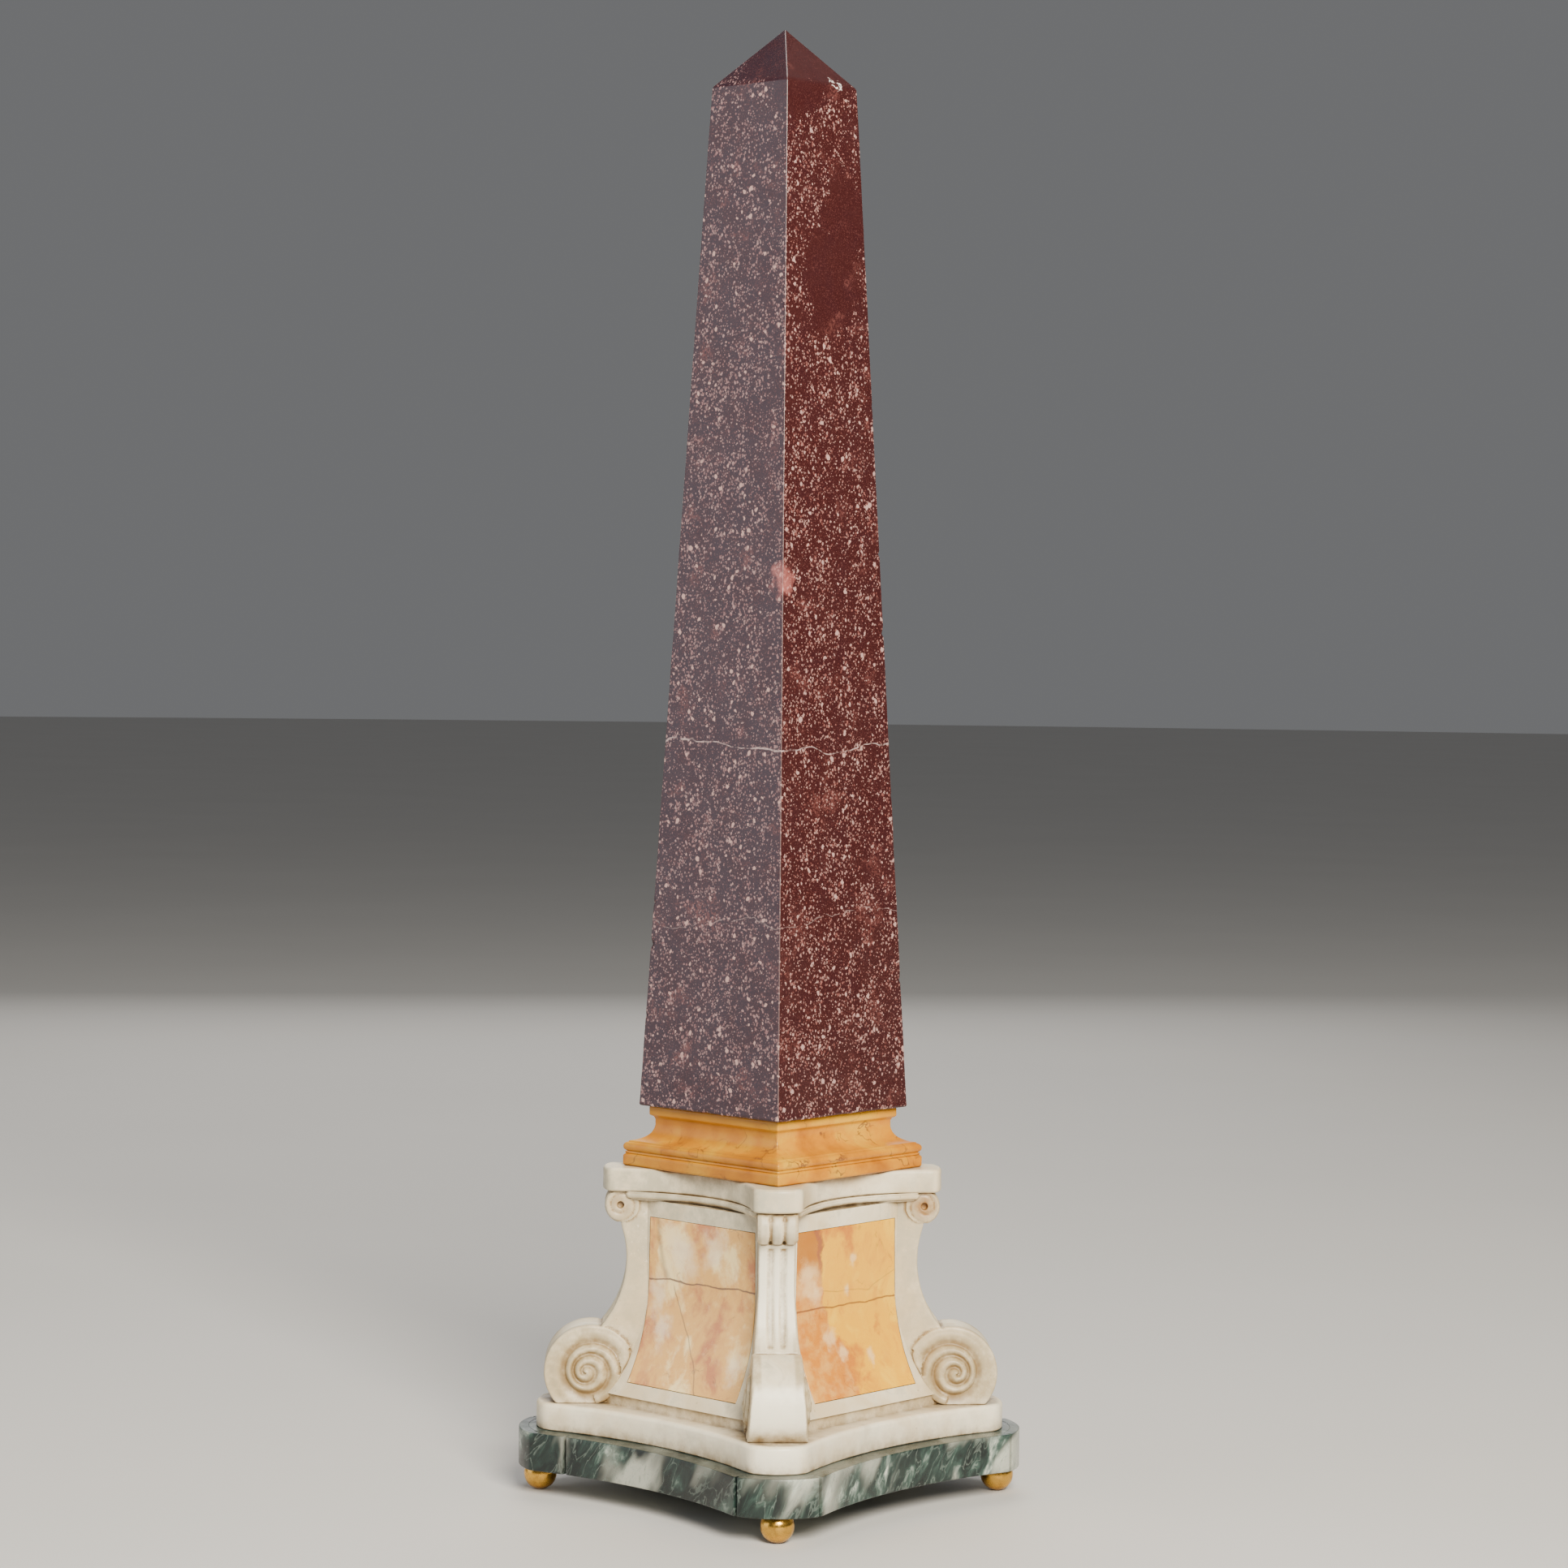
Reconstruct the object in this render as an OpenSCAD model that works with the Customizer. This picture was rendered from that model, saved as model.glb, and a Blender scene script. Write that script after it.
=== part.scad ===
// Table-top obelisk: a one-piece square shaft with its point, on a moulded socle and a pedestal
// with four scroll consoles at the corners, inlaid face panels, a veneered plinth and four ball feet.
// Millimetres. The origin is on the ground under the axis, Z is up, -Y is the front face.

/* [Shaft] */
// Height of the shaft with its point
shaft_h = 455.6; // [300:1:600]
// Width across the shaft at its foot, which sets every width below it
shaft_foot_w = 81; // [60:0.5:110]
// Width across the shaft where the point begins
shaft_top_w = 43.5; // [30:0.5:60]
// Height of the point
point_h = 24.8; // [15:0.2:50]
// Bevel around the foot of the shaft
shaft_bevel = 0.8; // [0.4:0.1:2]

/* [Socle] */
// How far the socle reaches past the foot of the shaft
socle_out = 4.8; // [3:0.1:7]
// Height of the lower band
band_h = 5.2; // [3:0.1:8]
// Radius along the edges of the band
band_soft = 0.9; // [0.4:0.1:1.4]
// Height of the moulded part above the band
moulding_h = 20.4; // [15:0.1:26]
// Height of the rounded edge at the foot of the moulding
bead_h = 5.1; // [4:0.1:6]
// Height of the fillet under the shaft
fillet_h = 4.1; // [3:0.1:6]
// How far the fillet lies inside the foot of the shaft
fillet_in = 3; // [1:0.1:5]
// How far the waist of the moulding lies inside the fillet
waist_in = 1.8; // [1:0.1:3]

/* [Cap slab] */
// Thickness of the slab over the consoles
cap_h = 9.8; // [6:0.1:14]
// How far its corners reach past the corners of the body
cap_out = 11.5; // [8:0.1:14]
// How far the middle of its hollow sides lies inside the faces of the body
cap_hollow = 3.5; // [1:0.1:5]
// Length of the face across each corner
cap_corner_w = 21; // [16:0.5:26]
// How far that face bulges
cap_bulge = 2.6; // [1:0.1:4]

/* [Pedestal] */
// Height between the base slab and the cap slab
die_h = 90; // [75:0.5:108]
// How far the upper part of the body stands out past the foot of the shaft
die_out = 2.5; // [0:0.1:6]
// How far each face sweeps out at its foot
die_kick = 15.6; // [12:0.2:20]
// Height over the base slab at which the faces begin to sweep out
bend_h = 52.2; // [40:0.2:62]
// Height of the set-back band under the swept foot
die_band_h = 4.4; // [2:0.2:7]
// How far the foot overhangs that band
lip_step = 1.2; // [0.6:0.1:2]
// Height of the moulding under the cap slab
bed_h = 3.8; // [2.5:0.1:6]
// How far the corners of that moulding lie inside those of the cap slab
bed_back = 8; // [6:0.1:10]
// How far the middle of its hollow sides lies inside the faces of the body
bed_hollow = 2; // [1:0.1:4]
// Width of the upright left between a panel and a console, at the upper edge of the panel
stile_w = 1.7; // [1.5:0.1:4]
// How much further each side of a panel spreads at its lower edge
panel_flare = 1.1; // [0:0.1:1.2]
// Height of the rail under a panel
panel_low = 10; // [8:0.5:14]
// Height of the rail over a panel
panel_high = 7.2; // [5:0.1:12]
// Thickness of a panel
panel_t = 3; // [2:0.5:5]
// Joint all round a panel
panel_joint = 0.15; // [0.1:0.05:0.3]

/* [Consoles] */
// Thickness of a console at its neck
neck_t = 15.4; // [12:0.2:18]
// How far the foot of a console is wider than its neck
foot_spread = 7.6; // [4:0.2:10]
// Height of the part of a console that widens towards its foot
flare_h = 55.8; // [40:0.2:66]
// How far a console is let into the corner of the body
seat_in = 2; // [1:0.1:4]
// Depth of the hollow between the two scrolls
neck_hollow = 6; // [4:0.1:8]
// Radius of the upper scroll
curl_r = 7.6; // [6.2:0.1:9.2]
// How far the upper scroll is wider than the neck
curl_spread = 1.2; // [0.4:0.1:2]
// How far the upper scroll lies inside the corner of the cap slab
curl_in = 1.1; // [0.4:0.1:3]
// How far the upper scroll is cut off by the cap slab
curl_cut = 1.4; // [1:0.1:3]
// Radius of the hole drilled in the eye of the upper scroll
eye_r = 1.6; // [1:0.1:2.2]
// Radius of the lower scroll
scroll_r = 19.6; // [16:0.1:24]
// How far the lower scroll reaches past the corner of the body
scroll_out = 35.5; // [30:0.1:42]
// How far the lower scroll is cut off by the base slab
scroll_cut = 6.3; // [4:0.1:8]
// Step between the coils of the lower scroll
coil_step = 1.1; // [0.6:0.1:1.6]
// Radius of a flute on the console
flute_r = 1.3; // [0.8:0.1:1.6]

/* [Base slab] */
// Thickness of the slab under the consoles
base_h = 11.5; // [8:0.1:16]
// How far its corners reach past the lower scrolls
base_out = 3.4; // [2:0.1:8]
// How far the middle of its hollow sides lies outside the foot of the body
base_ledge = 7.9; // [5:0.1:12]
// Length of the face across each corner
base_corner_w = 23.4; // [18:0.2:30]
// How far that face bulges
base_bulge = 3.2; // [1:0.1:5]

/* [Plinth] */
// Height of the veneered plinth
plinth_h = 16; // [12:0.2:22]
// How far its corners reach past those of the base slab
plinth_out = 7.3; // [5:0.1:12]
// How far the middle of its hollow sides lies outside the base slab
plinth_ledge = 9; // [6:0.1:12]
// Length of the face across each corner
plinth_corner_w = 35.2; // [28:0.2:40]
// How far that face bulges
plinth_bulge = 5; // [3:0.1:7]
// Thickness of the veneer strips
veneer_t = 4.2; // [3:0.1:6]
// How much further the front-left corner strip runs along the front
seam_shift = 17; // [0:0.5:30]
// Width of the joint between two strips
joint_w = 0.3; // [0.2:0.1:0.6]

/* [Ball feet] */
// Diameter of a ball foot
ball_d = 14; // [12:0.2:18]
// Ground to the underside of the plinth
foot_h = 11.5; // [9.5:0.1:12.5]
// How far the middle of a foot lies inside the corner of the plinth
foot_in = 9.4; // [9:0.1:20]
// Height of the collar over a foot
collar_h = 1; // [0.6:0.1:2]
// How far the collar is narrower than the ball, all round
collar_in = 1.1; // [0.6:0.1:2]
// Width of the flat that a foot rests on
foot_flat_w = 2.6; // [1.6:0.2:5]

/* [Hidden] */
$fn = 96;
big = 400;
plinth_z = foot_h;
base_z = plinth_z + plinth_h;
die_z = base_z + base_h;
cap_z = die_z + die_h;
band_z = cap_z + cap_h;
moulding_z = band_z + band_h;
shaft_z = moulding_z + moulding_h;
bed_z = cap_z - bed_h;
// Width of the flat where a hollow side meets a rounded corner
arris_w = 0.4;
// Stone colours, sRGB
porphyry = [0.36, 0.18, 0.20];
golden = [0.80, 0.53, 0.24];
ivory = [0.87, 0.83, 0.76];
siena = [0.90, 0.66, 0.36];
peach = [0.82, 0.68, 0.56];
verde = [0.33, 0.38, 0.35];
gilt = [0.80, 0.62, 0.28];
// Socle
socle_w = shaft_foot_w + 2 * socle_out;
fillet_w = shaft_foot_w - 2 * fillet_in;
waist_w = fillet_w - 2 * waist_in;
// Body of the pedestal: it rises straight from die_bend, and under that its faces sweep out
die_w = shaft_foot_w + 2 * die_out;
die_corner = die_w / sqrt(2);
die_bend = die_z + bend_h;
lip_z = die_z + die_band_h;
bend_drop = die_bend - lip_z;
sweep_r = (bend_drop * bend_drop + die_kick * die_kick) / (2 * die_kick);
panel_top_w = die_w - neck_t * sqrt(2) - 2 * stile_w;
panel_foot_w = panel_top_w + 2 * panel_flare;
// Slabs, from the body and the lower scrolls outwards
cap_reach = die_corner + cap_out;
cap_side_w = die_w - 2 * cap_hollow;
scroll_reach = die_corner + scroll_out;
base_reach = scroll_reach + base_out;
base_side_w = die_w + 2 * (die_kick + base_ledge);
plinth_reach = base_reach + plinth_out;
plinth_side_w = base_side_w + 2 * plinth_ledge;
foot_at = (plinth_reach - foot_in) / sqrt(2);
// Consoles: let into the corners of the body as far as seat_r from the axis
seat_r = die_corner - neck_t / 2 - seat_in;
foot_t = neck_t + foot_spread;
curl_t = neck_t + curl_spread;
curl_at = cap_reach - curl_r - curl_in;
curl_z = cap_z - curl_r + curl_cut;
scroll_at = scroll_reach - scroll_r;
scroll_z = die_z + scroll_r - scroll_cut;
flare_z = die_z + flare_h;
// The hollow of the neck runs from under the upper scroll to where it meets the lower one,
// meet_a round from the level
meet_a = 102.7;
neck_high = [curl_at + 0.9, curl_z - curl_r];
neck_low = [scroll_at + scroll_r * cos(meet_a), scroll_z + scroll_r * sin(meet_a)];
neck_run = neck_high - neck_low;
neck_len = norm(neck_run);
neck_r = (neck_len * neck_len / 4 + neck_hollow * neck_hollow) / (2 * neck_hollow);
neck_out = [neck_run[1], -neck_run[0]] / neck_len;
neck_mid = (neck_high + neck_low) / 2 + neck_out * (neck_r - neck_hollow);
// Radii of the three coils, as shares of the lower scroll: over the eye, and under it
coil_upper = [0.64, 0.42, 0.22];
coil_lower = [0.53, 0.31, 0.18];
// How far the coils stand out and up from the middle of the scroll, and how deep the first is let in
coil_out = 2.6;
coil_up = 0.2;
coil_sunk = 0.8;

// Plan of a slab with four hollow sides and four rounded corners. The hollows end at a chord of
// corner_w across each corner, and the corner bulges out past that chord to reach, with a
// narrow flat at either end of the bulge.
module slab_plan(side_w, reach, corner_w, bulge) {
    chord_r = reach - bulge;
    end_d = (chord_r + corner_w / 2) / sqrt(2);
    end_s = (chord_r - corner_w / 2) / sqrt(2);
    dip = end_d - side_w / 2;
    hollow_r = (end_s * end_s + dip * dip) / (2 * dip);
    round_half = corner_w / 2 - arris_w;
    round_r = (round_half * round_half + bulge * bulge) / (2 * bulge);
    difference() {
        square([2 * end_d + 2, 2 * end_d + 2], center = true);
        for (a = [0, 90, 180, 270]) {
            rotate([0, 0, a])
                translate([0, -side_w / 2 - hollow_r])
                    circle(r = hollow_r, $fn = 256);
        }
        for (a = [45, 135, 225, 315]) {
            rotate([0, 0, a])
                difference() {
                    translate([chord_r, -reach])
                        square([reach, 2 * reach]);
                    translate([reach - round_r, 0])
                        circle(r = round_r, $fn = 128);
                }
        }
    }
}

// A square body whose four sides follow one half profile, mitred at the corners
module mitred(length) {
    intersection() {
        rotate([90, 0, 0])
            linear_extrude(height = length, center = true)
                children();
        rotate([90, 0, 90])
            linear_extrude(height = length, center = true)
                children();
    }
}

// Shaft
module shaft_profile() {
    foot = shaft_foot_w / 2;
    top = shaft_top_w / 2;
    polygon([
        [-foot + shaft_bevel, 0],
        [foot - shaft_bevel, 0],
        [foot, shaft_bevel],
        [top, shaft_h - point_h],
        [0, shaft_h],
        [-top, shaft_h - point_h],
        [-foot, shaft_bevel],
    ]);
}

module shaft() {
    color(porphyry)
        translate([0, 0, shaft_z])
            mitred(shaft_foot_w + 10)
                shaft_profile();
}

// Socle
module moulding_profile() {
    half = socle_w / 2;
    step = 0.8;
    fillet_z = moulding_h - fillet_h;
    hollow_r = (fillet_z - bead_h) / 2 + 2;
    difference() {
        union() {
            translate([-half + step, 0])
                square([2 * (half - step), bead_h]);
            translate([-half, step])
                square([2 * half, bead_h - 2 * step]);
            translate([-fillet_w / 2, fillet_z])
                square([fillet_w, fillet_h]);
            polygon([
                [-half + step, bead_h - step],
                [half - step, bead_h - step],
                [waist_w / 2, bead_h + hollow_r],
                [waist_w / 2, fillet_z + step],
                [-waist_w / 2, fillet_z + step],
                [-waist_w / 2, bead_h + hollow_r],
            ]);
        }
        for (s = [-1, 1]) {
            translate([s * (waist_w / 2 + hollow_r), bead_h + hollow_r])
                circle(r = hollow_r);
        }
    }
}

module socle_moulding() {
    color(golden)
        translate([0, 0, moulding_z])
            mitred(socle_w + 10)
                moulding_profile();
}

module band_profile() {
    half = socle_w / 2;
    translate([-half + band_soft, 0])
        square([2 * (half - band_soft), band_h]);
    translate([-half, band_soft])
        square([2 * half, band_h - 2 * band_soft]);
    for (s = [-1, 1]) {
        for (z = [band_soft, band_h - band_soft]) {
            translate([s * (half - band_soft), z])
                circle(r = band_soft, $fn = 32);
        }
    }
}

module socle_band() {
    color(golden)
        translate([0, 0, band_z])
            mitred(socle_w + 10)
                band_profile();
}

// Cap slab
module cap_slab() {
    color(ivory)
        translate([0, 0, cap_z])
            linear_extrude(height = cap_h)
                slab_plan(cap_side_w, cap_reach, cap_corner_w, cap_bulge);
}

// Consoles, drawn with X outward along the corner diagonal
module console_side() {
    difference() {
        translate([seat_r, die_z])
            square([scroll_at - seat_r, die_h]);
        translate(neck_mid)
            circle(r = neck_r, $fn = 256);
        translate([curl_at, curl_z - curl_r])
            square([big, big]);
    }
    translate([curl_at, curl_z])
        circle(r = curl_r);
    translate([scroll_at, scroll_z])
        circle(r = scroll_r, $fn = 192);
}

module console_front() {
    polygon([
        [-foot_t / 2, die_z],
        [foot_t / 2, die_z],
        [neck_t / 2, flare_z],
        [neck_t / 2, cap_z],
        [-neck_t / 2, cap_z],
        [-neck_t / 2, flare_z],
    ]);
}

module console_block() {
    intersection() {
        rotate([90, 0, 0])
            linear_extrude(height = 2 * foot_t, center = true)
                console_side();
        translate([seat_r, 0, 0])
            rotate([90, 0, 90])
                linear_extrude(height = scroll_reach)
                    console_front();
    }
}

// One coil of the lower scroll: a large half turn above and a smaller one below
module coil_plan(upper, lower) {
    shift = upper - lower;
    intersection() {
        circle(r = upper);
        translate([-upper - 1, 0])
            square([2 * upper + 2, upper + 1]);
    }
    intersection() {
        translate([-shift, 0])
            circle(r = lower);
        translate([-shift - lower - 1, -lower - 1])
            square([2 * lower + 2, lower + 1]);
    }
}

module coils() {
    for (level = [0, 1, 2]) {
        reach = foot_t / 2 - coil_sunk + coil_step * (level + 1);
        translate([scroll_at + coil_out, 0, scroll_z + coil_up])
            rotate([90, 0, 0])
                linear_extrude(height = 2 * reach, center = true)
                    coil_plan(scroll_r * coil_upper[level], scroll_r * coil_lower[level]);
    }
}

// A flute that follows an edge of radius r, as a ring whose section is sunk by some of its radius
module flute_ring(r, sunk) {
    rotate([90, 0, 0])
        rotate_extrude()
            translate([r + sunk, 0])
                circle(r = flute_r, $fn = 32);
}

// Two flutes down the neck, and two that part the front of the upper scroll into three lobes
module flutes() {
    low = neck_low[1] + flute_r;
    high = neck_high[1] - flute_r;
    for (s = [-1, 1]) {
        translate([0, s * neck_t / 6, 0]) {
            intersection() {
                translate([neck_mid[0], 0, neck_mid[1]])
                    flute_ring(neck_r, 0);
                translate([seat_r, -flute_r - 1, low])
                    cube([scroll_at - seat_r, 2 * flute_r + 2, high - low]);
            }
            intersection() {
                translate([curl_at, 0, curl_z])
                    flute_ring(curl_r, flute_r * 0.4);
                translate([curl_at, -flute_r - 1, curl_z - big])
                    cube([big, 2 * flute_r + 2, big + curl_r / 2]);
            }
        }
    }
}

module console() {
    color(ivory)
        difference() {
            union() {
                console_block();
                intersection() {
                    translate([curl_at, 0, curl_z])
                        rotate([90, 0, 0])
                            cylinder(r = curl_r, h = curl_t, center = true);
                    translate([0, -curl_t, cap_z - big])
                        cube([big, 2 * curl_t, big]);
                }
                difference() {
                    coils();
                    rotate([0, 0, 45])
                        die_block(0);
                }
            }
            flutes();
            for (s = [-1, 1]) {
                translate([curl_at + eye_r / 2, s * curl_t / 2, curl_z])
                    rotate([90, 0, 0])
                        cylinder(r = eye_r, h = 2 * eye_r, center = true);
            }
        }
}

module console_front_right() {
    rotate([0, 0, -45])
        console();
}

module console_back_right() {
    rotate([0, 0, 45])
        console();
}

module console_back_left() {
    rotate([0, 0, 135])
        console();
}

module console_front_left() {
    rotate([0, 0, 225])
        console();
}

// Pedestal body
module die_profile(inset) {
    half = die_w / 2 - inset;
    lip = half + die_kick;
    difference() {
        union() {
            translate([-lip, lip_z])
                square([2 * lip, bed_z - lip_z]);
            translate([-lip + lip_step, die_z])
                square([2 * (lip - lip_step), bed_z - die_z]);
        }
        for (s = [-1, 1]) {
            translate([s * (half + sweep_r), die_bend])
                circle(r = sweep_r, $fn = 256);
            translate([s > 0 ? half : -half - big, die_bend])
                square([big, big]);
        }
    }
}

module die_block(inset) {
    mitred(die_w + 2 * die_kick + 10)
        die_profile(inset);
}

module console_slots() {
    for (a = [45, 135, 225, 315]) {
        rotate([0, 0, a])
            translate([seat_r, 0, 0])
                rotate([90, 0, 90])
                    linear_extrude(height = scroll_reach)
                        console_front();
    }
}

// Outline of an inlaid panel, seen from the front
module panel_outline(gap) {
    polygon([
        [-panel_foot_w / 2 - gap, die_z + panel_low - gap],
        [panel_foot_w / 2 + gap, die_z + panel_low - gap],
        [panel_top_w / 2 + gap, bed_z - panel_high + gap],
        [-panel_top_w / 2 - gap, bed_z - panel_high + gap],
    ]);
}

// A panel with a gap all round it: the outer panel_t of the body within the outline
module panel_solid(gap) {
    difference() {
        intersection() {
            rotate([90, 0, 0])
                linear_extrude(height = die_w)
                    panel_outline(gap);
            rotate([90, 0, 90])
                linear_extrude(height = die_w, center = true)
                    die_profile(0);
        }
        rotate([90, 0, 90])
            linear_extrude(height = die_w + 2, center = true)
                die_profile(panel_t + gap);
    }
}

// A panel as it is let in, with its back edges cut clear of the consoles
module inlay() {
    difference() {
        panel_solid(0);
        console_slots();
    }
}

module die_core() {
    color(ivory)
        difference() {
            die_block(0);
            console_slots();
            for (a = [0, 90, 180, 270]) {
                rotate([0, 0, a])
                    panel_solid(panel_joint);
            }
        }
}

module bed_moulding() {
    color(ivory)
        difference() {
            translate([0, 0, bed_z])
                linear_extrude(height = bed_h)
                    slab_plan(die_w - 2 * bed_hollow, cap_reach - bed_back, cap_corner_w, cap_bulge);
            for (a = [45, 135, 225, 315]) {
                rotate([0, 0, a])
                    translate([seat_r, -curl_t / 2, bed_z - 1])
                        cube([cap_reach, curl_t, bed_h + 2]);
            }
        }
}

module panel_front() {
    color(peach)
        inlay();
}

module panel_right() {
    color(siena)
        rotate([0, 0, 90])
            inlay();
}

module panel_back() {
    color(siena)
        rotate([0, 0, 180])
            inlay();
}

module panel_left() {
    color(siena)
        rotate([0, 0, 270])
            inlay();
}

// Base slab
module base_slab() {
    color(ivory)
        translate([0, 0, base_z])
            linear_extrude(height = base_h)
                slab_plan(base_side_w, base_reach, base_corner_w, base_bulge);
}

// Plinth
module plinth_plan(inset) {
    slab_plan(plinth_side_w - 2 * inset, plinth_reach - inset, plinth_corner_w - inset, plinth_bulge);
}

module plinth_core() {
    color(verde)
        translate([0, 0, plinth_z])
            linear_extrude(height = plinth_h)
                plinth_plan(veneer_t);
}

module veneer_ring() {
    translate([0, 0, plinth_z])
        linear_extrude(height = plinth_h)
            difference() {
                plinth_plan(0);
                plinth_plan(veneer_t);
            }
}

// Half the straight length that a side strip covers
seam_s = (plinth_reach - plinth_bulge - plinth_corner_w / 2) / sqrt(2);

// A strip of veneer from one distance along a side to another, both counted from its middle
module strip(turn, from, to) {
    color(verde)
        rotate([0, 0, turn])
            intersection() {
                veneer_ring();
                translate([from + joint_w / 2, -big, 0])
                    cube([to - from - joint_w, big, big]);
            }
}

module plinth_front() {
    strip(0, -seam_s + seam_shift, seam_s);
}

module plinth_right() {
    strip(90, -seam_s, seam_s);
}

module plinth_back() {
    strip(180, -seam_s, seam_s);
}

module plinth_left() {
    strip(270, -seam_s, seam_s);
}

// A strip round a corner: it starts short of the next side's seam, and ends past its own by extra
module corner_strip(turn, extra) {
    start = -seam_s - joint_w / 2;
    color(verde)
        rotate([0, 0, turn])
            intersection() {
                veneer_ring();
                translate([-big, -big, 0])
                    cube([big - seam_s + extra - joint_w / 2, big + start, big]);
            }
}

module corner_front_left() {
    corner_strip(0, seam_shift);
}

module corner_front_right() {
    corner_strip(90, 0);
}

module corner_back_right() {
    corner_strip(180, 0);
}

module corner_back_left() {
    corner_strip(270, 0);
}

// Ball feet
module foot(turn) {
    radius = ball_d / 2;
    lift = radius - sqrt(radius * radius - foot_flat_w * foot_flat_w / 4);
    color(gilt)
        rotate([0, 0, turn])
            translate([foot_at, -foot_at, 0])
                union() {
                    intersection() {
                        translate([0, 0, radius - lift])
                            sphere(r = radius);
                        translate([-radius, -radius, 0])
                            cube([2 * radius, 2 * radius, foot_h]);
                    }
                    translate([0, 0, foot_h - collar_h])
                        cylinder(r = radius - collar_in, h = collar_h);
                }
}

module foot_front_right() {
    foot(0);
}

module foot_back_right() {
    foot(90);
}

module foot_back_left() {
    foot(180);
}

module foot_front_left() {
    foot(270);
}

shaft();
socle_moulding();
socle_band();
cap_slab();
bed_moulding();
die_core();
console_front_right();
console_back_right();
console_back_left();
console_front_left();
panel_front();
panel_right();
panel_back();
panel_left();
base_slab();
plinth_core();
plinth_front();
plinth_right();
plinth_back();
plinth_left();
corner_front_right();
corner_back_right();
corner_back_left();
corner_front_left();
foot_front_right();
foot_back_right();
foot_back_left();
foot_front_left();
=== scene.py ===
"""Looks of a table-top obelisk: a porphyry shaft on a carved and inlaid marble pedestal.

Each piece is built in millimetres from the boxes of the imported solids, lies where they lie, and
stands for the solids that it refines.
"""

import logging
import math
from dataclasses import dataclass, field
from enum import Enum
from typing import Optional, Sequence, Union

import bpy
import numpy as np
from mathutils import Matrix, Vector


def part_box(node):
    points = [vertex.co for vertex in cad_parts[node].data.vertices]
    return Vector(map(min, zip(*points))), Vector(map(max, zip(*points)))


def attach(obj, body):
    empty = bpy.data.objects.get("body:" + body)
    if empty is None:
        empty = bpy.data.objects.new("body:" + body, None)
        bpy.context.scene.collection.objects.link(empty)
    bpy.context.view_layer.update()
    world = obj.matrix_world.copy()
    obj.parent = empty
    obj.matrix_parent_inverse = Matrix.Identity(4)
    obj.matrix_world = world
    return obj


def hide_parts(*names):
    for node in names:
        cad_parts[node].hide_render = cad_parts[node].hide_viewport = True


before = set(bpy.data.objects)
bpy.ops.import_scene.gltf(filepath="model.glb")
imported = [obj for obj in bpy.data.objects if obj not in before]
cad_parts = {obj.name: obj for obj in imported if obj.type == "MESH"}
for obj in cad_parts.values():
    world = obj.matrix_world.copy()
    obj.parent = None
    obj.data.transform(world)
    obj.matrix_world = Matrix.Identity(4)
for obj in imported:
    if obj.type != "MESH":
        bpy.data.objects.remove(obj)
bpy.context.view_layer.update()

log = logging.getLogger("obelisk")

MM = 0.001
QUARTER_TURNS = (0, 90, 180, 270)
RECESS_SAMPLES = 6

Colour = tuple[float, float, float]
Socket = bpy.types.NodeSocket
Value = Union[Socket, float, Colour]


class Side(Enum):
    """A face of the pedestal, with its turn from the front face in degrees."""

    FRONT = 0
    RIGHT = 90
    BACK = 180
    LEFT = 270


class Corner(Enum):
    """A corner of the pedestal, with the turn of its diagonal from +X in degrees."""

    FRONT_RIGHT = -45
    BACK_RIGHT = 45
    BACK_LEFT = 135
    FRONT_LEFT = 225


def smooth(value: np.ndarray, low: float, high: float) -> np.ndarray:
    """Rises smoothly from 0 to 1.

    Args:
        value: Where to read it.
        low: Value at which the rise starts.
        high: Value at which the rise ends.

    Returns:
        A number from 0 to 1 for each value.
    """
    t = np.clip((value - low) / (high - low), 0.0, 1.0)
    return t * t * (3 - 2 * t)


def turned(points: np.ndarray, degrees: float) -> np.ndarray:
    """Turns points about the vertical axis.

    Args:
        points: Points, with X and Y first in the last axis.
        degrees: Turn, anticlockwise from above.

    Returns:
        The turned points.
    """
    c, s = math.cos(math.radians(degrees)), math.sin(math.radians(degrees))
    out = points.copy()
    out[..., 0] = points[..., 0] * c - points[..., 1] * s
    out[..., 1] = points[..., 0] * s + points[..., 1] * c
    return out


class Grain:
    """Smooth noise with a fixed seed, for hand-cut faces and worn edges."""

    SIZE = 4096
    PRIMES = (73856093, 19349663, 83492791)

    def __init__(self, seed: int) -> None:
        """Fills the table.

        Args:
            seed: Fixes the pattern.
        """
        self.table = np.random.default_rng(seed).random(self.SIZE) * 2 - 1

    def at(self, points: np.ndarray, size: float) -> np.ndarray:
        """Reads the noise.

        Args:
            points: Points in millimetres, with X, Y and Z in the last axis.
            size: Width of one bump, in millimetres.

        Returns:
            A number from -1 to 1 for each point.
        """
        cell = np.floor(points / size).astype(np.int64)
        part = points / size - cell
        part = part * part * (3 - 2 * part)
        total = np.zeros(points.shape[:-1])
        for step in np.ndindex(2, 2, 2):
            c = cell + np.array(step)
            a, b, d = (c[..., k] * prime for k, prime in enumerate(self.PRIMES))
            share = np.prod(np.where(np.array(step) == 1, part, 1 - part), axis=-1)
            total += self.table[(a ^ b ^ d) & (self.SIZE - 1)] * share
        return total

    def worn(self, points: np.ndarray, coarse: tuple[float, float], fine: tuple[float, float]) -> np.ndarray:
        """Reads how far a worn face stands back, as bumps of two sizes.

        Args:
            points: Points in millimetres, with X, Y and Z in the last axis.
            coarse: Width and depth of the larger bumps, in millimetres.
            fine: Width and depth of the smaller bumps, in millimetres.

        Returns:
            The distance for each point, from zero to minus twice both depths together.
        """
        return sum(depth * (self.at(points, size) - 1) for size, depth in (coarse, fine))


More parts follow.
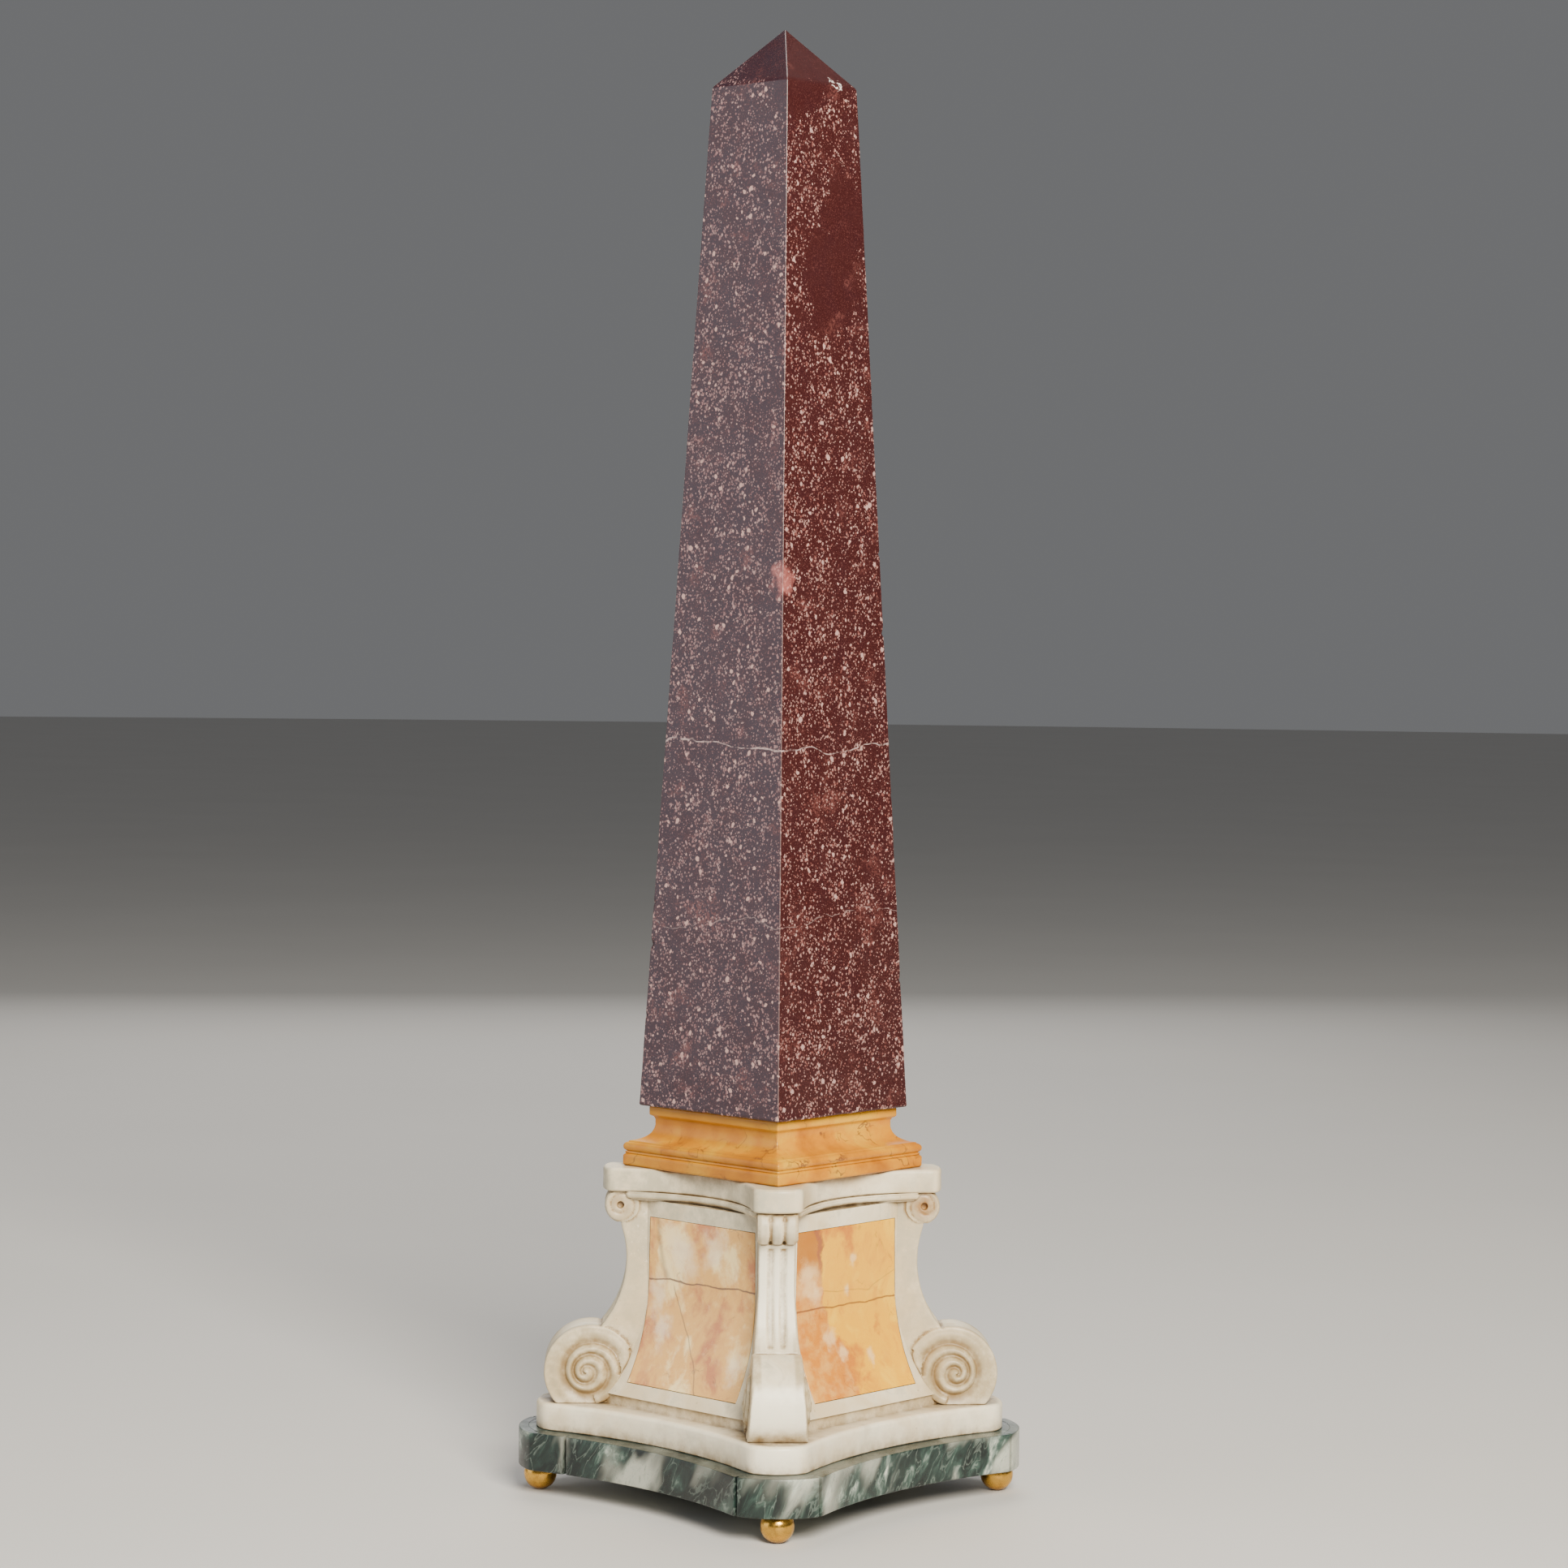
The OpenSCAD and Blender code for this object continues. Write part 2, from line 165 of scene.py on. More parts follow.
def raised(plan: np.ndarray, height: np.ndarray) -> np.ndarray:
    """Gives points on a plan their heights.

    Args:
        plan: X and Y of each point, as rows by points by 2.
        height: Heights that fit the rows, the points or both.

    Returns:
        The points, with X, Y and Z in the last axis.
    """
    return np.concatenate([plan, np.broadcast_to(height[..., None], (*plan.shape[:2], 1))], axis=-1)


def away_from_axis(points: np.ndarray) -> np.ndarray:
    """Finds the level way out from the vertical axis.

    Args:
        points: Points, with X, Y and Z in the last axis.

    Returns:
        X and Y of that way, 1 long, for each point.
    """
    reach = np.maximum(np.hypot(points[..., 0], points[..., 1]), 0.1)
    return points[..., :2] / reach[..., None]


def added(name: str, data: bpy.types.ID) -> bpy.types.Object:
    """Adds an object to the scene.

    Args:
        name: Its name.
        data: Its mesh, light or camera.

    Returns:
        The object.
    """
    item = bpy.data.objects.new(name, data)
    bpy.context.collection.objects.link(item)
    return item


def store(mesh: bpy.types.Mesh, numbers: dict[str, np.ndarray]) -> None:
    """Stores numbers on a mesh's points.

    Args:
        mesh: The mesh.
        numbers: A number for each point, by name.
    """
    for key, values in numbers.items():
        layer = mesh.attributes.new(key, "FLOAT", "POINT")
        layer.data.foreach_set("value", values.astype(np.float32))


# ---------------------------------------------------------------- materials


class Graph:
    """A material's node tree, with one short method for each kind of node."""

    def __init__(self, name: str) -> None:
        """Starts the tree.

        Args:
            name: The material's name.
        """
        self.material = bpy.data.materials.new(name)
        self.material.use_nodes = True
        self.tree = self.material.node_tree
        self.tree.nodes.clear()
        self.shader = self.tree.nodes.new("ShaderNodeBsdfPrincipled")
        end = self.tree.nodes.new("ShaderNodeOutputMaterial")
        self.tree.links.new(self.shader.outputs["BSDF"], end.inputs["Surface"])
        self.place = self.tree.nodes.new("ShaderNodeTexCoord").outputs["Object"]

    def put(self, target: Socket, value: Value) -> None:
        """Links a socket to another one, or sets it to a constant.

        Args:
            target: The input.
            value: The socket or constant that it takes.
        """
        if isinstance(value, bpy.types.NodeSocket):
            self.tree.links.new(value, target)
        elif target.type == "RGBA":
            target.default_value = (*value, 1.0)
        else:
            target.default_value = value

    def set(self, name: str, value: Value) -> None:
        """Sets or links one input of the surface shader.

        Args:
            name: The input's name.
            value: The socket or constant that it takes.
        """
        self.put(self.shader.inputs[name], value)

    def moved(self, stretch: Colour = (1, 1, 1), turn: Colour = (0, 0, 0),
              shift: Colour = (0, 0, 0)) -> Socket:
        """Moves the object's coordinates.

        Args:
            stretch: Scale along each axis.
            turn: Turn about each axis, in degrees.
            shift: Shift along each axis, in metres.

        Returns:
            The new coordinates.
        """
        node = self.tree.nodes.new("ShaderNodeMapping")
        self.put(node.inputs["Vector"], self.place)
        node.inputs["Scale"].default_value = stretch
        node.inputs["Rotation"].default_value = [math.radians(a) for a in turn]
        node.inputs["Location"].default_value = shift
        return node.outputs[0]

    def cloud(self, size: float, detail: float, at: Optional[Socket]) -> bpy.types.Node:
        """Adds a noise node.

        Args:
            size: Width of its bumps, in millimetres.
            detail: How many finer layers it has.
            at: Coordinates to read it at, or None for the object's own.

        Returns:
            The node.
        """
        node = self.tree.nodes.new("ShaderNodeTexNoise")
        self.put(node.inputs["Vector"], at or self.place)
        node.inputs["Scale"].default_value = 1 / (size * MM)
        node.inputs["Detail"].default_value = detail
        return node

    def noise(self, size: float, detail: float = 3, rough: float = 0.5,
              at: Optional[Socket] = None) -> Socket:
        """Reads cloudy noise.

        Args:
            size: Width of its bumps, in millimetres.
            detail: How many finer layers it has.
            rough: How strong the finer layers are.
            at: Coordinates to read it at.

        Returns:
            A number about 0.5.
        """
        node = self.cloud(size, detail, at)
        node.inputs["Roughness"].default_value = rough
        return node.outputs[0]

    def warped(self, size: float, amount: float, at: Optional[Socket] = None) -> Socket:
        """Pushes coordinates about by noise.

        Args:
            size: Width of the noise's bumps, in millimetres.
            amount: How far it pushes, in millimetres.
            at: The coordinates.

        Returns:
            The new coordinates.
        """
        push = self.tree.nodes.new("ShaderNodeVectorMath")
        push.operation = "MULTIPLY_ADD"
        self.put(push.inputs[0], self.cloud(size, 2, at).outputs[1])
        push.inputs[1].default_value = (2 * amount * MM,) * 3
        self.put(push.inputs[2], at or self.place)
        return push.outputs[0]

    def cells(self, size: float, at: Socket) -> bpy.types.Node:
        """Adds a pattern of cells.

        Args:
            size: Their width, in millimetres.
            at: Coordinates to read it at.

        Returns:
            The node, whose outputs are Distance and Color.
        """
        node = self.tree.nodes.new("ShaderNodeTexVoronoi")
        self.put(node.inputs["Vector"], at)
        node.inputs["Scale"].default_value = 1 / (size * MM)
        return node

    def sum(self, kind: str, a: Value, b: Value = 0.0, c: Value = 0.0) -> Socket:
        """Does one step of arithmetic.

        Args:
            kind: The step, such as ADD.
            a: First number.
            b: Second number.
            c: Third number, for the steps that take one.

        Returns:
            The result.
        """
        node = self.tree.nodes.new("ShaderNodeMath")
        node.operation = kind
        for target, value in zip(node.inputs, (a, b, c)):
            self.put(target, value)
        return node.outputs[0]

    def times(self, first: Value, *others: Value) -> Value:
        """Multiplies numbers together.

        Args:
            first: The first number.
            others: The rest.

        Returns:
            Their product.
        """
        for other in others:
            first = self.sum("MULTIPLY", first, other)
        return first

    def step(self, value: Value, low: float, high: float, start: float = 0.0, end: float = 1.0) -> Socket:
        """Goes smoothly from one number to another.

        Args:
            value: What it follows.
            low: Value at which it starts.
            high: Value at which it ends.
            start: The number at low.
            end: The number at high.

        Returns:
            The number.
        """
        node = self.tree.nodes.new("ShaderNodeMapRange")
        node.interpolation_type = "SMOOTHSTEP"
        self.put(node.inputs["Value"], value)
        for name, number in zip(("From Min", "From Max", "To Min", "To Max"), (low, high, start, end)):
            node.inputs[name].default_value = number
        return node.outputs[0]

    def lay(self, below: Value, above: Value, *shares: Value) -> Socket:
        """Lays one colour over another.

        Args:
            below: The colour underneath.
            above: The colour on top.
            shares: How much of it shows: numbers from 0 to 1, multiplied together.

        Returns:
            The colour.
        """
        node = self.tree.nodes.new("ShaderNodeMix")
        node.data_type = "RGBA"
        values = (self.times(*shares), below, above)
        for target, value in zip((node.inputs[0], node.inputs[6], node.inputs[7]), values):
            self.put(target, value)
        return node.outputs[2]

    def shades(self, share: Socket, stops: Sequence[tuple[float, Colour]]) -> Socket:
        """Reads a colour ramp.

        Args:
            share: Where to read it.
            stops: Place and colour of each stop.

        Returns:
            The colour.
        """
        node = self.tree.nodes.new("ShaderNodeValToRGB")
        ramp = node.color_ramp
        while len(ramp.elements) < len(stops):
            ramp.elements.new(0.5)
        for element, (place, colour) in zip(ramp.elements, stops):
            element.position = place
            element.color = (*colour, 1.0)
        self.put(node.inputs[0], share)
        return node.outputs[0]

    def parted(self, vector: Socket, name: str) -> Socket:
        """Takes one part of a vector.

        Args:
            vector: The vector.
            name: X, Y or Z.

        Returns:
            That part.
        """
        node = self.tree.nodes.new("ShaderNodeSeparateXYZ")
        self.put(node.inputs[0], vector)
        return node.outputs[name]

    def axis(self, name: str) -> Socket:
        """Reads one of the object's coordinates.

        Args:
            name: X, Y or Z.

        Returns:
            The coordinate, in metres.
        """
        return self.parted(self.place, name)

    def facing(self, name: str) -> Socket:
        """Reads how far the surface faces along an axis.

        Args:
            name: X, Y or Z.

        Returns:
            A number from -1 to 1.
        """
        return self.parted(self.tree.nodes.new("ShaderNodeNewGeometry").outputs["Normal"], name)

    def thread(self, size: float, width: float, at: Optional[Socket] = None, detail: float = 2) -> Socket:
        """Draws thin winding lines, where noise crosses its middle.

        Args:
            size: Width of the noise's bumps, in millimetres.
            width: Width of a line, as a share of the noise's range.
            at: Coordinates to read it at.
            detail: How many finer layers the noise has.

        Returns:
            1 on a line and 0 off it.
        """
        off = self.sum("ABSOLUTE", self.sum("SUBTRACT", self.noise(size, detail, 0.5, at), 0.5))
        return self.step(off, 0.0, width, 1.0, 0.0)

    def recess(self, reach: float) -> Socket:
        """Finds recesses.

        Args:
            reach: How far it looks round, in millimetres.

        Returns:
            1 deep in a recess and 0 in the open.
        """
        node = self.tree.nodes.new("ShaderNodeAmbientOcclusion")
        node.samples = RECESS_SAMPLES
        node.inputs["Distance"].default_value = reach * MM
        return self.sum("SUBTRACT", 1.0, node.outputs["AO"])

    def stored(self, name: str) -> Socket:
        """Reads a number stored on the mesh.

        Args:
            name: Its name.

        Returns:
            The number.
        """
        node = self.tree.nodes.new("ShaderNodeAttribute")
        node.attribute_name = name
        return node.outputs["Fac"]

    def patch(self, place: Colour, radius: float, stretch: Colour = (1, 1, 1), ragged: float = 0.5,
              soft: float = 0.65) -> Socket:
        """Draws a cloud with a ragged edge.

        Args:
            place: Its middle, in millimetres.
            radius: Its radius, in millimetres.
            stretch: How much narrower it is along each axis. With 0 it runs right through.
            ragged: How far its edge wanders, as a share of its radius.
            soft: Where its edge starts to fade, as a share of its radius.

        Returns:
            1 in its middle and 0 outside.
        """
        shift = tuple(-a * b * MM for a, b in zip(place, stretch))
        node = self.tree.nodes.new("ShaderNodeVectorMath")
        node.operation = "LENGTH"
        self.put(node.inputs[0], self.moved(stretch, (0, 0, 0), shift))
        wander = self.sum("SUBTRACT", self.noise(radius * 0.9, 4, 0.6), 0.5)
        far = self.sum("ADD", node.outputs["Value"], self.times(wander, 4 * ragged * radius * MM))
        return self.step(far, radius * soft * MM, radius * MM, 1.0, 0.0)

    def bump(self, height: Socket, depth: float, below: Optional[Socket] = None) -> Socket:
        """Adds relief.

        Args:
            height: Its height, from 0 to 1.
            depth: Its depth, in millimetres.
            below: Relief that it is laid over.

        Returns:
            The surface's direction.
        """
        node = self.tree.nodes.new("ShaderNodeBump")
        node.inputs["Distance"].default_value = depth * MM
        self.put(node.inputs["Height"], height)
        if below is not None:
            self.put(node.inputs["Normal"], below)
        return node.outputs[0]


@dataclass(frozen=True)
class Polish:
    """How a stone is polished, with duller patches, fine grain and a slight wave in its face.

    Sizes are in millimetres. Grain is the size, detail and depth of the grain, and wave is the
    size and depth of the wave.
    """

    patch: float
    rough: tuple[float, float]
    gloss: float
    grain: tuple[float, float, float]
    wave: tuple[float, float]

    def finish(self, g: Graph, colour: Socket) -> bpy.types.Material:
        """Sets the surface shader.

        Args:
            g: The tree of the finish.
            colour: The stone's colour.

        Returns:
            The finished material.
        """
        g.set("Base Color", colour)
        g.set("Roughness", g.step(g.noise(self.patch, 4, 0.6), 0.3, 0.7, *self.rough))
        g.set("Specular IOR Level", self.gloss)
        grain_size, detail, depth = self.grain
        wave_size, wave_depth = self.wave
        wave = g.bump(g.noise(wave_size, 2), wave_depth)
        g.set("Normal", g.bump(g.noise(grain_size, detail), depth, wave))
        return g.material


@dataclass(frozen=True)
class Porphyry:
    """Dark red stone full of pale crystals, polished."""

    ground: Colour = (0.034, 0.0058, 0.0055)
    # Painted sheen: the ground of the faces turned to ±Y.
    sheen_dusky: Colour = (0.022, 0.0110, 0.019)
    wine: Colour = (0.030, 0.006, 0.008)
    crystal: Colour = (0.41, 0.25, 0.225)
    # Painted sheen: the crystals' tint on the faces turned to ±Y.
    sheen_lilac: Colour = (0.20, 0.13, 0.145)
    pink: Colour = (0.22, 0.075, 0.064)
    rose: Colour = (0.50, 0.16, 0.14)
    vein: Colour = (0.60, 0.45, 0.43)
    chalk: Colour = (0.80, 0.72, 0.70)
    polish: Polish = Polish(30, (0.20, 0.32), 0.45, (0.5, 2, 0.012), (14, 0.10))

    def crystals(self, g: Graph, size: float, cut: float, seed: float, crowd: Socket) -> Socket:
        """Draws irregular crystals.

        Args:
            g: The tree they are drawn in.
            size: Distance between them, in millimetres.
            cut: Share of a cell that the largest one takes.
            seed: Shifts the pattern, so that layers differ.
            crowd: How large they are in each place, from 0 to 1.

        Returns:
            1 on a crystal and 0 off it.
        """
        at = g.warped(size * 0.6, size * 0.3, g.moved((1, 1, 0.92), (12, 24, 31), (seed, seed, 0)))
        cell = g.cells(size, at)
        grade = g.tree.nodes.new("ShaderNodeSeparateColor")
        g.put(grade.inputs[0], cell.outputs["Color"])
        limit = g.times(g.step(grade.outputs[0], 0.1, 1.0, 0.0, cut), crowd)
        return g.step(g.sum("SUBTRACT", limit, cell.outputs["Distance"]), 0.0, 0.09)

    def plain(self, g: Graph) -> Socket:
        """Finds where the stone has no crystals: on the point and in a few clouds.

        Args:
            g: The tree of the finish.

        Returns:
            1 there and 0 elsewhere.
        """
        total = g.times(g.step(g.axis("Z"), 0.594, 0.600), g.step(g.axis("X"), -0.014, -0.002))
        for place, radius, stretch, ragged in (
            ((21, -15, 591), 11, (1, 0.7, 1), 0.35),
            ((20, 6, 598), 9, (1, 0.7, 1), 0.3),
            ((23, 15, 540), 19, (1, 1, 0.75), 0.45),
            ((24, 2, 512), 20, (1, 1, 0.9), 0.5),
            ((-12, 22, 470), 22, (1, 1, 0.7), 0.5),
            ((-24, -6, 545), 17, (1, 1, 0.7), 0.5),
        ):
            total = g.sum("MAXIMUM", total, g.patch(place, radius, stretch, ragged))
        return total

    def hair(self, g: Graph, height: float, wave: float, strength: float) -> Socket:
        """Draws a hair vein round the shaft.

        Args:
            g: The tree of the finish.
            height: Its height, in metres.
            wave: How far it waves up and down, in metres.
            strength: How strong it is.

        Returns:
            Its strength on the vein, and 0 off it.
        """
        off = g.sum("ADD", g.axis("Z"), -height - wave / 2)
        off = g.sum("ABSOLUTE", g.sum("MULTIPLY_ADD", g.noise(26, 4), wave, off))
        return g.times(g.step(off, 0.0001, 0.0005, strength, 0.0), g.step(g.noise(5, 2), 0.35, 0.55))

    def material(self) -> bpy.types.Material:
        """Builds the finish.

        Returns:
            The material.
        """
        g = Graph("porphyry")
        streaks = g.noise(7, 4, 0.6, g.moved((1, 1, 0.6), (25, -20, 0)))
        covered = g.sum("MULTIPLY_ADD", self.plain(g), -0.80, 1.0)
        crowd = g.times(g.step(streaks, 0.32, 0.64, 0.62, 1.16), covered)
        # Painted sheen: the faces turned to ±Y get a greyer, more purple ground and lilac crystals, in place
        # of the soft lamps' reflection.
        side = g.step(g.sum("ABSOLUTE", g.facing("Y")), 0.4, 0.8)
        ground = g.lay(self.ground, self.sheen_dusky, side, 0.85)
        ground = g.lay(ground, self.wine, g.step(g.noise(10, 4, 0.6), 0.35, 0.75, 0, 0.5))
        ground = g.lay(ground, self.pink, g.step(g.noise(0.6, 3, 0.7), 0.5, 0.75, 0, 0.4))
        large = self.crystals(g, 3.6, 0.315, 0.0, crowd)
        small = self.crystals(g, 1.6, 0.43, 0.31, crowd)
        specks = self.crystals(g, 0.95, 0.56, 0.57, crowd)
        tone = g.lay(self.pink, self.crystal, g.step(g.noise(1.6, 2), 0.35, 0.65))
        tone = g.lay(tone, self.sheen_lilac, side, 0.45)
        colour = g.lay(ground, tone, specks, 0.62)
        colour = g.lay(colour, tone, small, 0.85)
        colour = g.lay(colour, self.crystal, large, 0.95)
        rosy = g.step(g.noise(16, 3, 0.6), 0.56, 0.72, 0, 0.35)
        colour = g.lay(colour, self.pink, rosy, g.step(g.noise(1.1, 2), 0.4, 0.6))
        for height, wave, strength in ((0.318, 0.016, 0.5), (0.2465, 0.030, 0.22)):
            colour = g.lay(colour, self.vein, self.hair(g, height, wave, strength))
        colour = g.lay(colour, self.rose, g.patch((29, -29, 388), 7, (1, 1, 0.8), 0.5, 0.3), 0.5)
        fleck = g.patch((21, 9, 597), 3.6, (1, 1, 1), 0.7)
        colour = g.lay(colour, self.chalk, fleck, g.thread(3.0, 0.07, None, 4))
        # Painted highlight along the arrises, partly also wear: a thin pale line.
        colour = g.lay(colour, self.vein, g.step(g.stored("arris"), 0.7, 1.0, 0, 0.13))
        return self.polish.finish(g, colour)


@dataclass(frozen=True)
class GoldenMarble:
    """Golden orange marble with purple-brown veinlets."""

    gold: Colour = (0.57, 0.212, 0.002)
    deep: Colour = (0.36, 0.105, 0.003)
    pale: Colour = (0.68, 0.35, 0.015)
    # Painted shade on the faces turned to -Y.
    shade_umber: Colour = (0.22, 0.085, 0.010)
    veinlet: Colour = (0.10, 0.030, 0.024)
    band_top: tuple[float, float] = (0.1585, 0.1605)
    polish: Polish = Polish(9, (0.28, 0.42), 0.35, (1.2, 3, 0.02), (8, 0.12))

    def material(self) -> bpy.types.Material:
        """Builds the finish.

        Returns:
            The material.
        """
        g = Graph("golden_marble")
        at = g.warped(26, 7)
        body = g.shades(g.noise(20, 4, 0.55, at), ((0.30, self.deep), (0.50, self.gold), (0.68, self.pale)))
        body = g.lay(body, self.deep, g.step(g.noise(3, 3, 0.6), 0.55, 0.8, 0, 0.35))
        lines = g.times(g.thread(17, 0.016, at, 4), g.step(g.noise(12, 2), 0.45, 0.62))
        body = g.lay(body, self.veinlet, lines, 0.75)
        body = g.lay(body, self.pale, g.step(g.axis("Z"), *self.band_top, 0, 0.35))
        # Painted shade: the stone turns deeper in its recesses.
        body = g.lay(body, self.deep, g.step(g.recess(5), 0.35, 0.9, 0, 0.7))
        # Painted shade: the faces turned to -Y are darker.
        body = g.lay(body, self.shade_umber, g.step(g.facing("Y"), -0.3, -0.9, 0, 0.45))
        return self.polish.finish(g, body)


@dataclass(frozen=True)
class WhiteMarble:
    """Old ivory-coloured marble, with tan dirt and painted shade where hands and dusters don't reach, grime
    and painted shade on the consoles' sides, and painted highlights on the front console and on the carving's
    ridges.
    """

    ivory: Colour = (0.82, 0.72, 0.52)
    cream: Colour = (0.66, 0.53, 0.33)
    # Brightens the lower slab, and paints highlights on the front console and on the carving's ridges.
    bright: Colour = (0.95, 0.88, 0.70)
    grey: Colour = (0.46, 0.41, 0.29)
    # Tan spots, and tan dirt with painted shade in recesses and in the carving's hollows.
    tan: Colour = (0.24, 0.155, 0.065)
    # Soil and painted shade in tight creases.
    soil_and_shade: Colour = (0.075, 0.038, 0.016)
    rust: Colour = (0.30, 0.145, 0.035)
    # Grime and painted shade on the consoles' sides.
    beige: Colour = (0.40, 0.305, 0.165)
    polish: Polish = Polish(8, (0.30, 0.48), 0.4, (1.0, 3, 0.018), (7, 0.10))

    def stone(self, g: Graph) -> Socket:
        """Draws the clean stone.

        Args:
            g: The tree of the finish.

        Returns:
            Its colour.
        """
        at = g.warped(30, 10)
        stops = ((0.38, self.cream), (0.56, self.ivory), (0.70, self.ivory))
        body = g.shades(g.noise(26, 4, 0.55, at), stops)
        body = g.lay(body, self.grey, g.step(g.noise(13, 4, 0.6, at), 0.50, 0.72, 0, 0.6))
        body = g.lay(body, self.cream, g.step(g.noise(5, 4, 0.65), 0.5, 0.75, 0, 0.4))
        body = g.lay(body, self.grey, g.thread(34, 0.012, at, 4), 0.25)
        spots = g.step(g.cells(5.5, g.warped(4, 1)).outputs["Distance"], 0.05, 0.12, 0.45, 0.0)
        return g.lay(body, self.tan, spots, g.step(g.noise(16, 2), 0.48, 0.6))

    def bright_slab_and_lit_front(self, g: Graph, body: Socket) -> Socket:
        """Brightens the lower slab, and paints a highlight on the front corner below its curl, where it faces
        the key lamp.

        Args:
            g: The tree of the finish.
            body: The stone's colour.

        Returns:
            The new colour.
        """
        slab = g.step(g.axis("Z"), 0.037, 0.043, 0.55, 0)
        body = g.lay(body, self.bright, slab, g.step(g.noise(11, 3), 0.35, 0.6, 0.5, 1))
        # Painted highlight on the front of the console that faces the key lamp, below its curl.
        middle = g.step(g.sum("ABSOLUTE", g.sum("ADD", g.axis("X"), g.axis("Y"))), 0.023, 0.030, 0.85, 0)
        below_curl = g.step(g.axis("Z"), 0.108, 0.117, 1, 0.12)
        outward = g.step(g.sum("SUBTRACT", g.facing("X"), g.facing("Y")), 1.15, 1.38)
        return g.lay(body, self.bright, outward, middle, below_curl)

    def material(self) -> bpy.types.Material:
        """Builds the finish.

        Returns:
            The material.
        """
        g = Graph("white_marble")
        patchy = g.step(g.noise(6, 4, 0.65), 0.3, 0.7, 0.5, 1.3)
        # Grime and painted shade on the consoles' sides, strongest on the coils of the lower scroll.
        body = g.lay(self.stone(g), self.beige, g.stored("side_grime_and_shade"), patchy, 0.70)
        shade = g.times(g.step(g.facing("Y"), -0.2, -0.9), g.step(g.axis("Z"), 0.040, 0.13, 0.22, 0.85))
        body = self.bright_slab_and_lit_front(g, g.lay(body, self.grey, shade, patchy))
        # Tan dirt and painted shade in wide recesses.
        body = g.lay(body, self.tan, g.step(g.recess(20), 0.10, 0.62), patchy, 0.80)
        # Tan dirt and painted shade in the hollows of the carving.
        body = g.lay(body, self.tan, g.step(g.stored("hollow"), 0.015, 0.24), patchy, 0.85)
        # Soil and painted shade in tight creases.
        body = g.lay(body, self.soil_and_shade, g.step(g.recess(2.2), 0.45, 0.95), 0.55)
        body = g.lay(body, self.rust, g.stored("stain"), patchy)
        # Painted highlight on the carving's ridges.
        body = g.lay(body, self.bright, g.step(g.stored("hollow"), -0.06, -0.30, 0, 0.45))
        return self.polish.finish(g, body)


@dataclass(frozen=True)
class Stroke:
    """A vein across an inlaid panel: from one place to another, each along the face and up.

    It shows on the front or right panel, or, when it is behind, on the panel opposite.
    """

    start: tuple[float, float]
    end: tuple[float, float]
    width: float = 0.5
    waver: float = 2.0
    strength: float = 0.7
    behind: bool = False


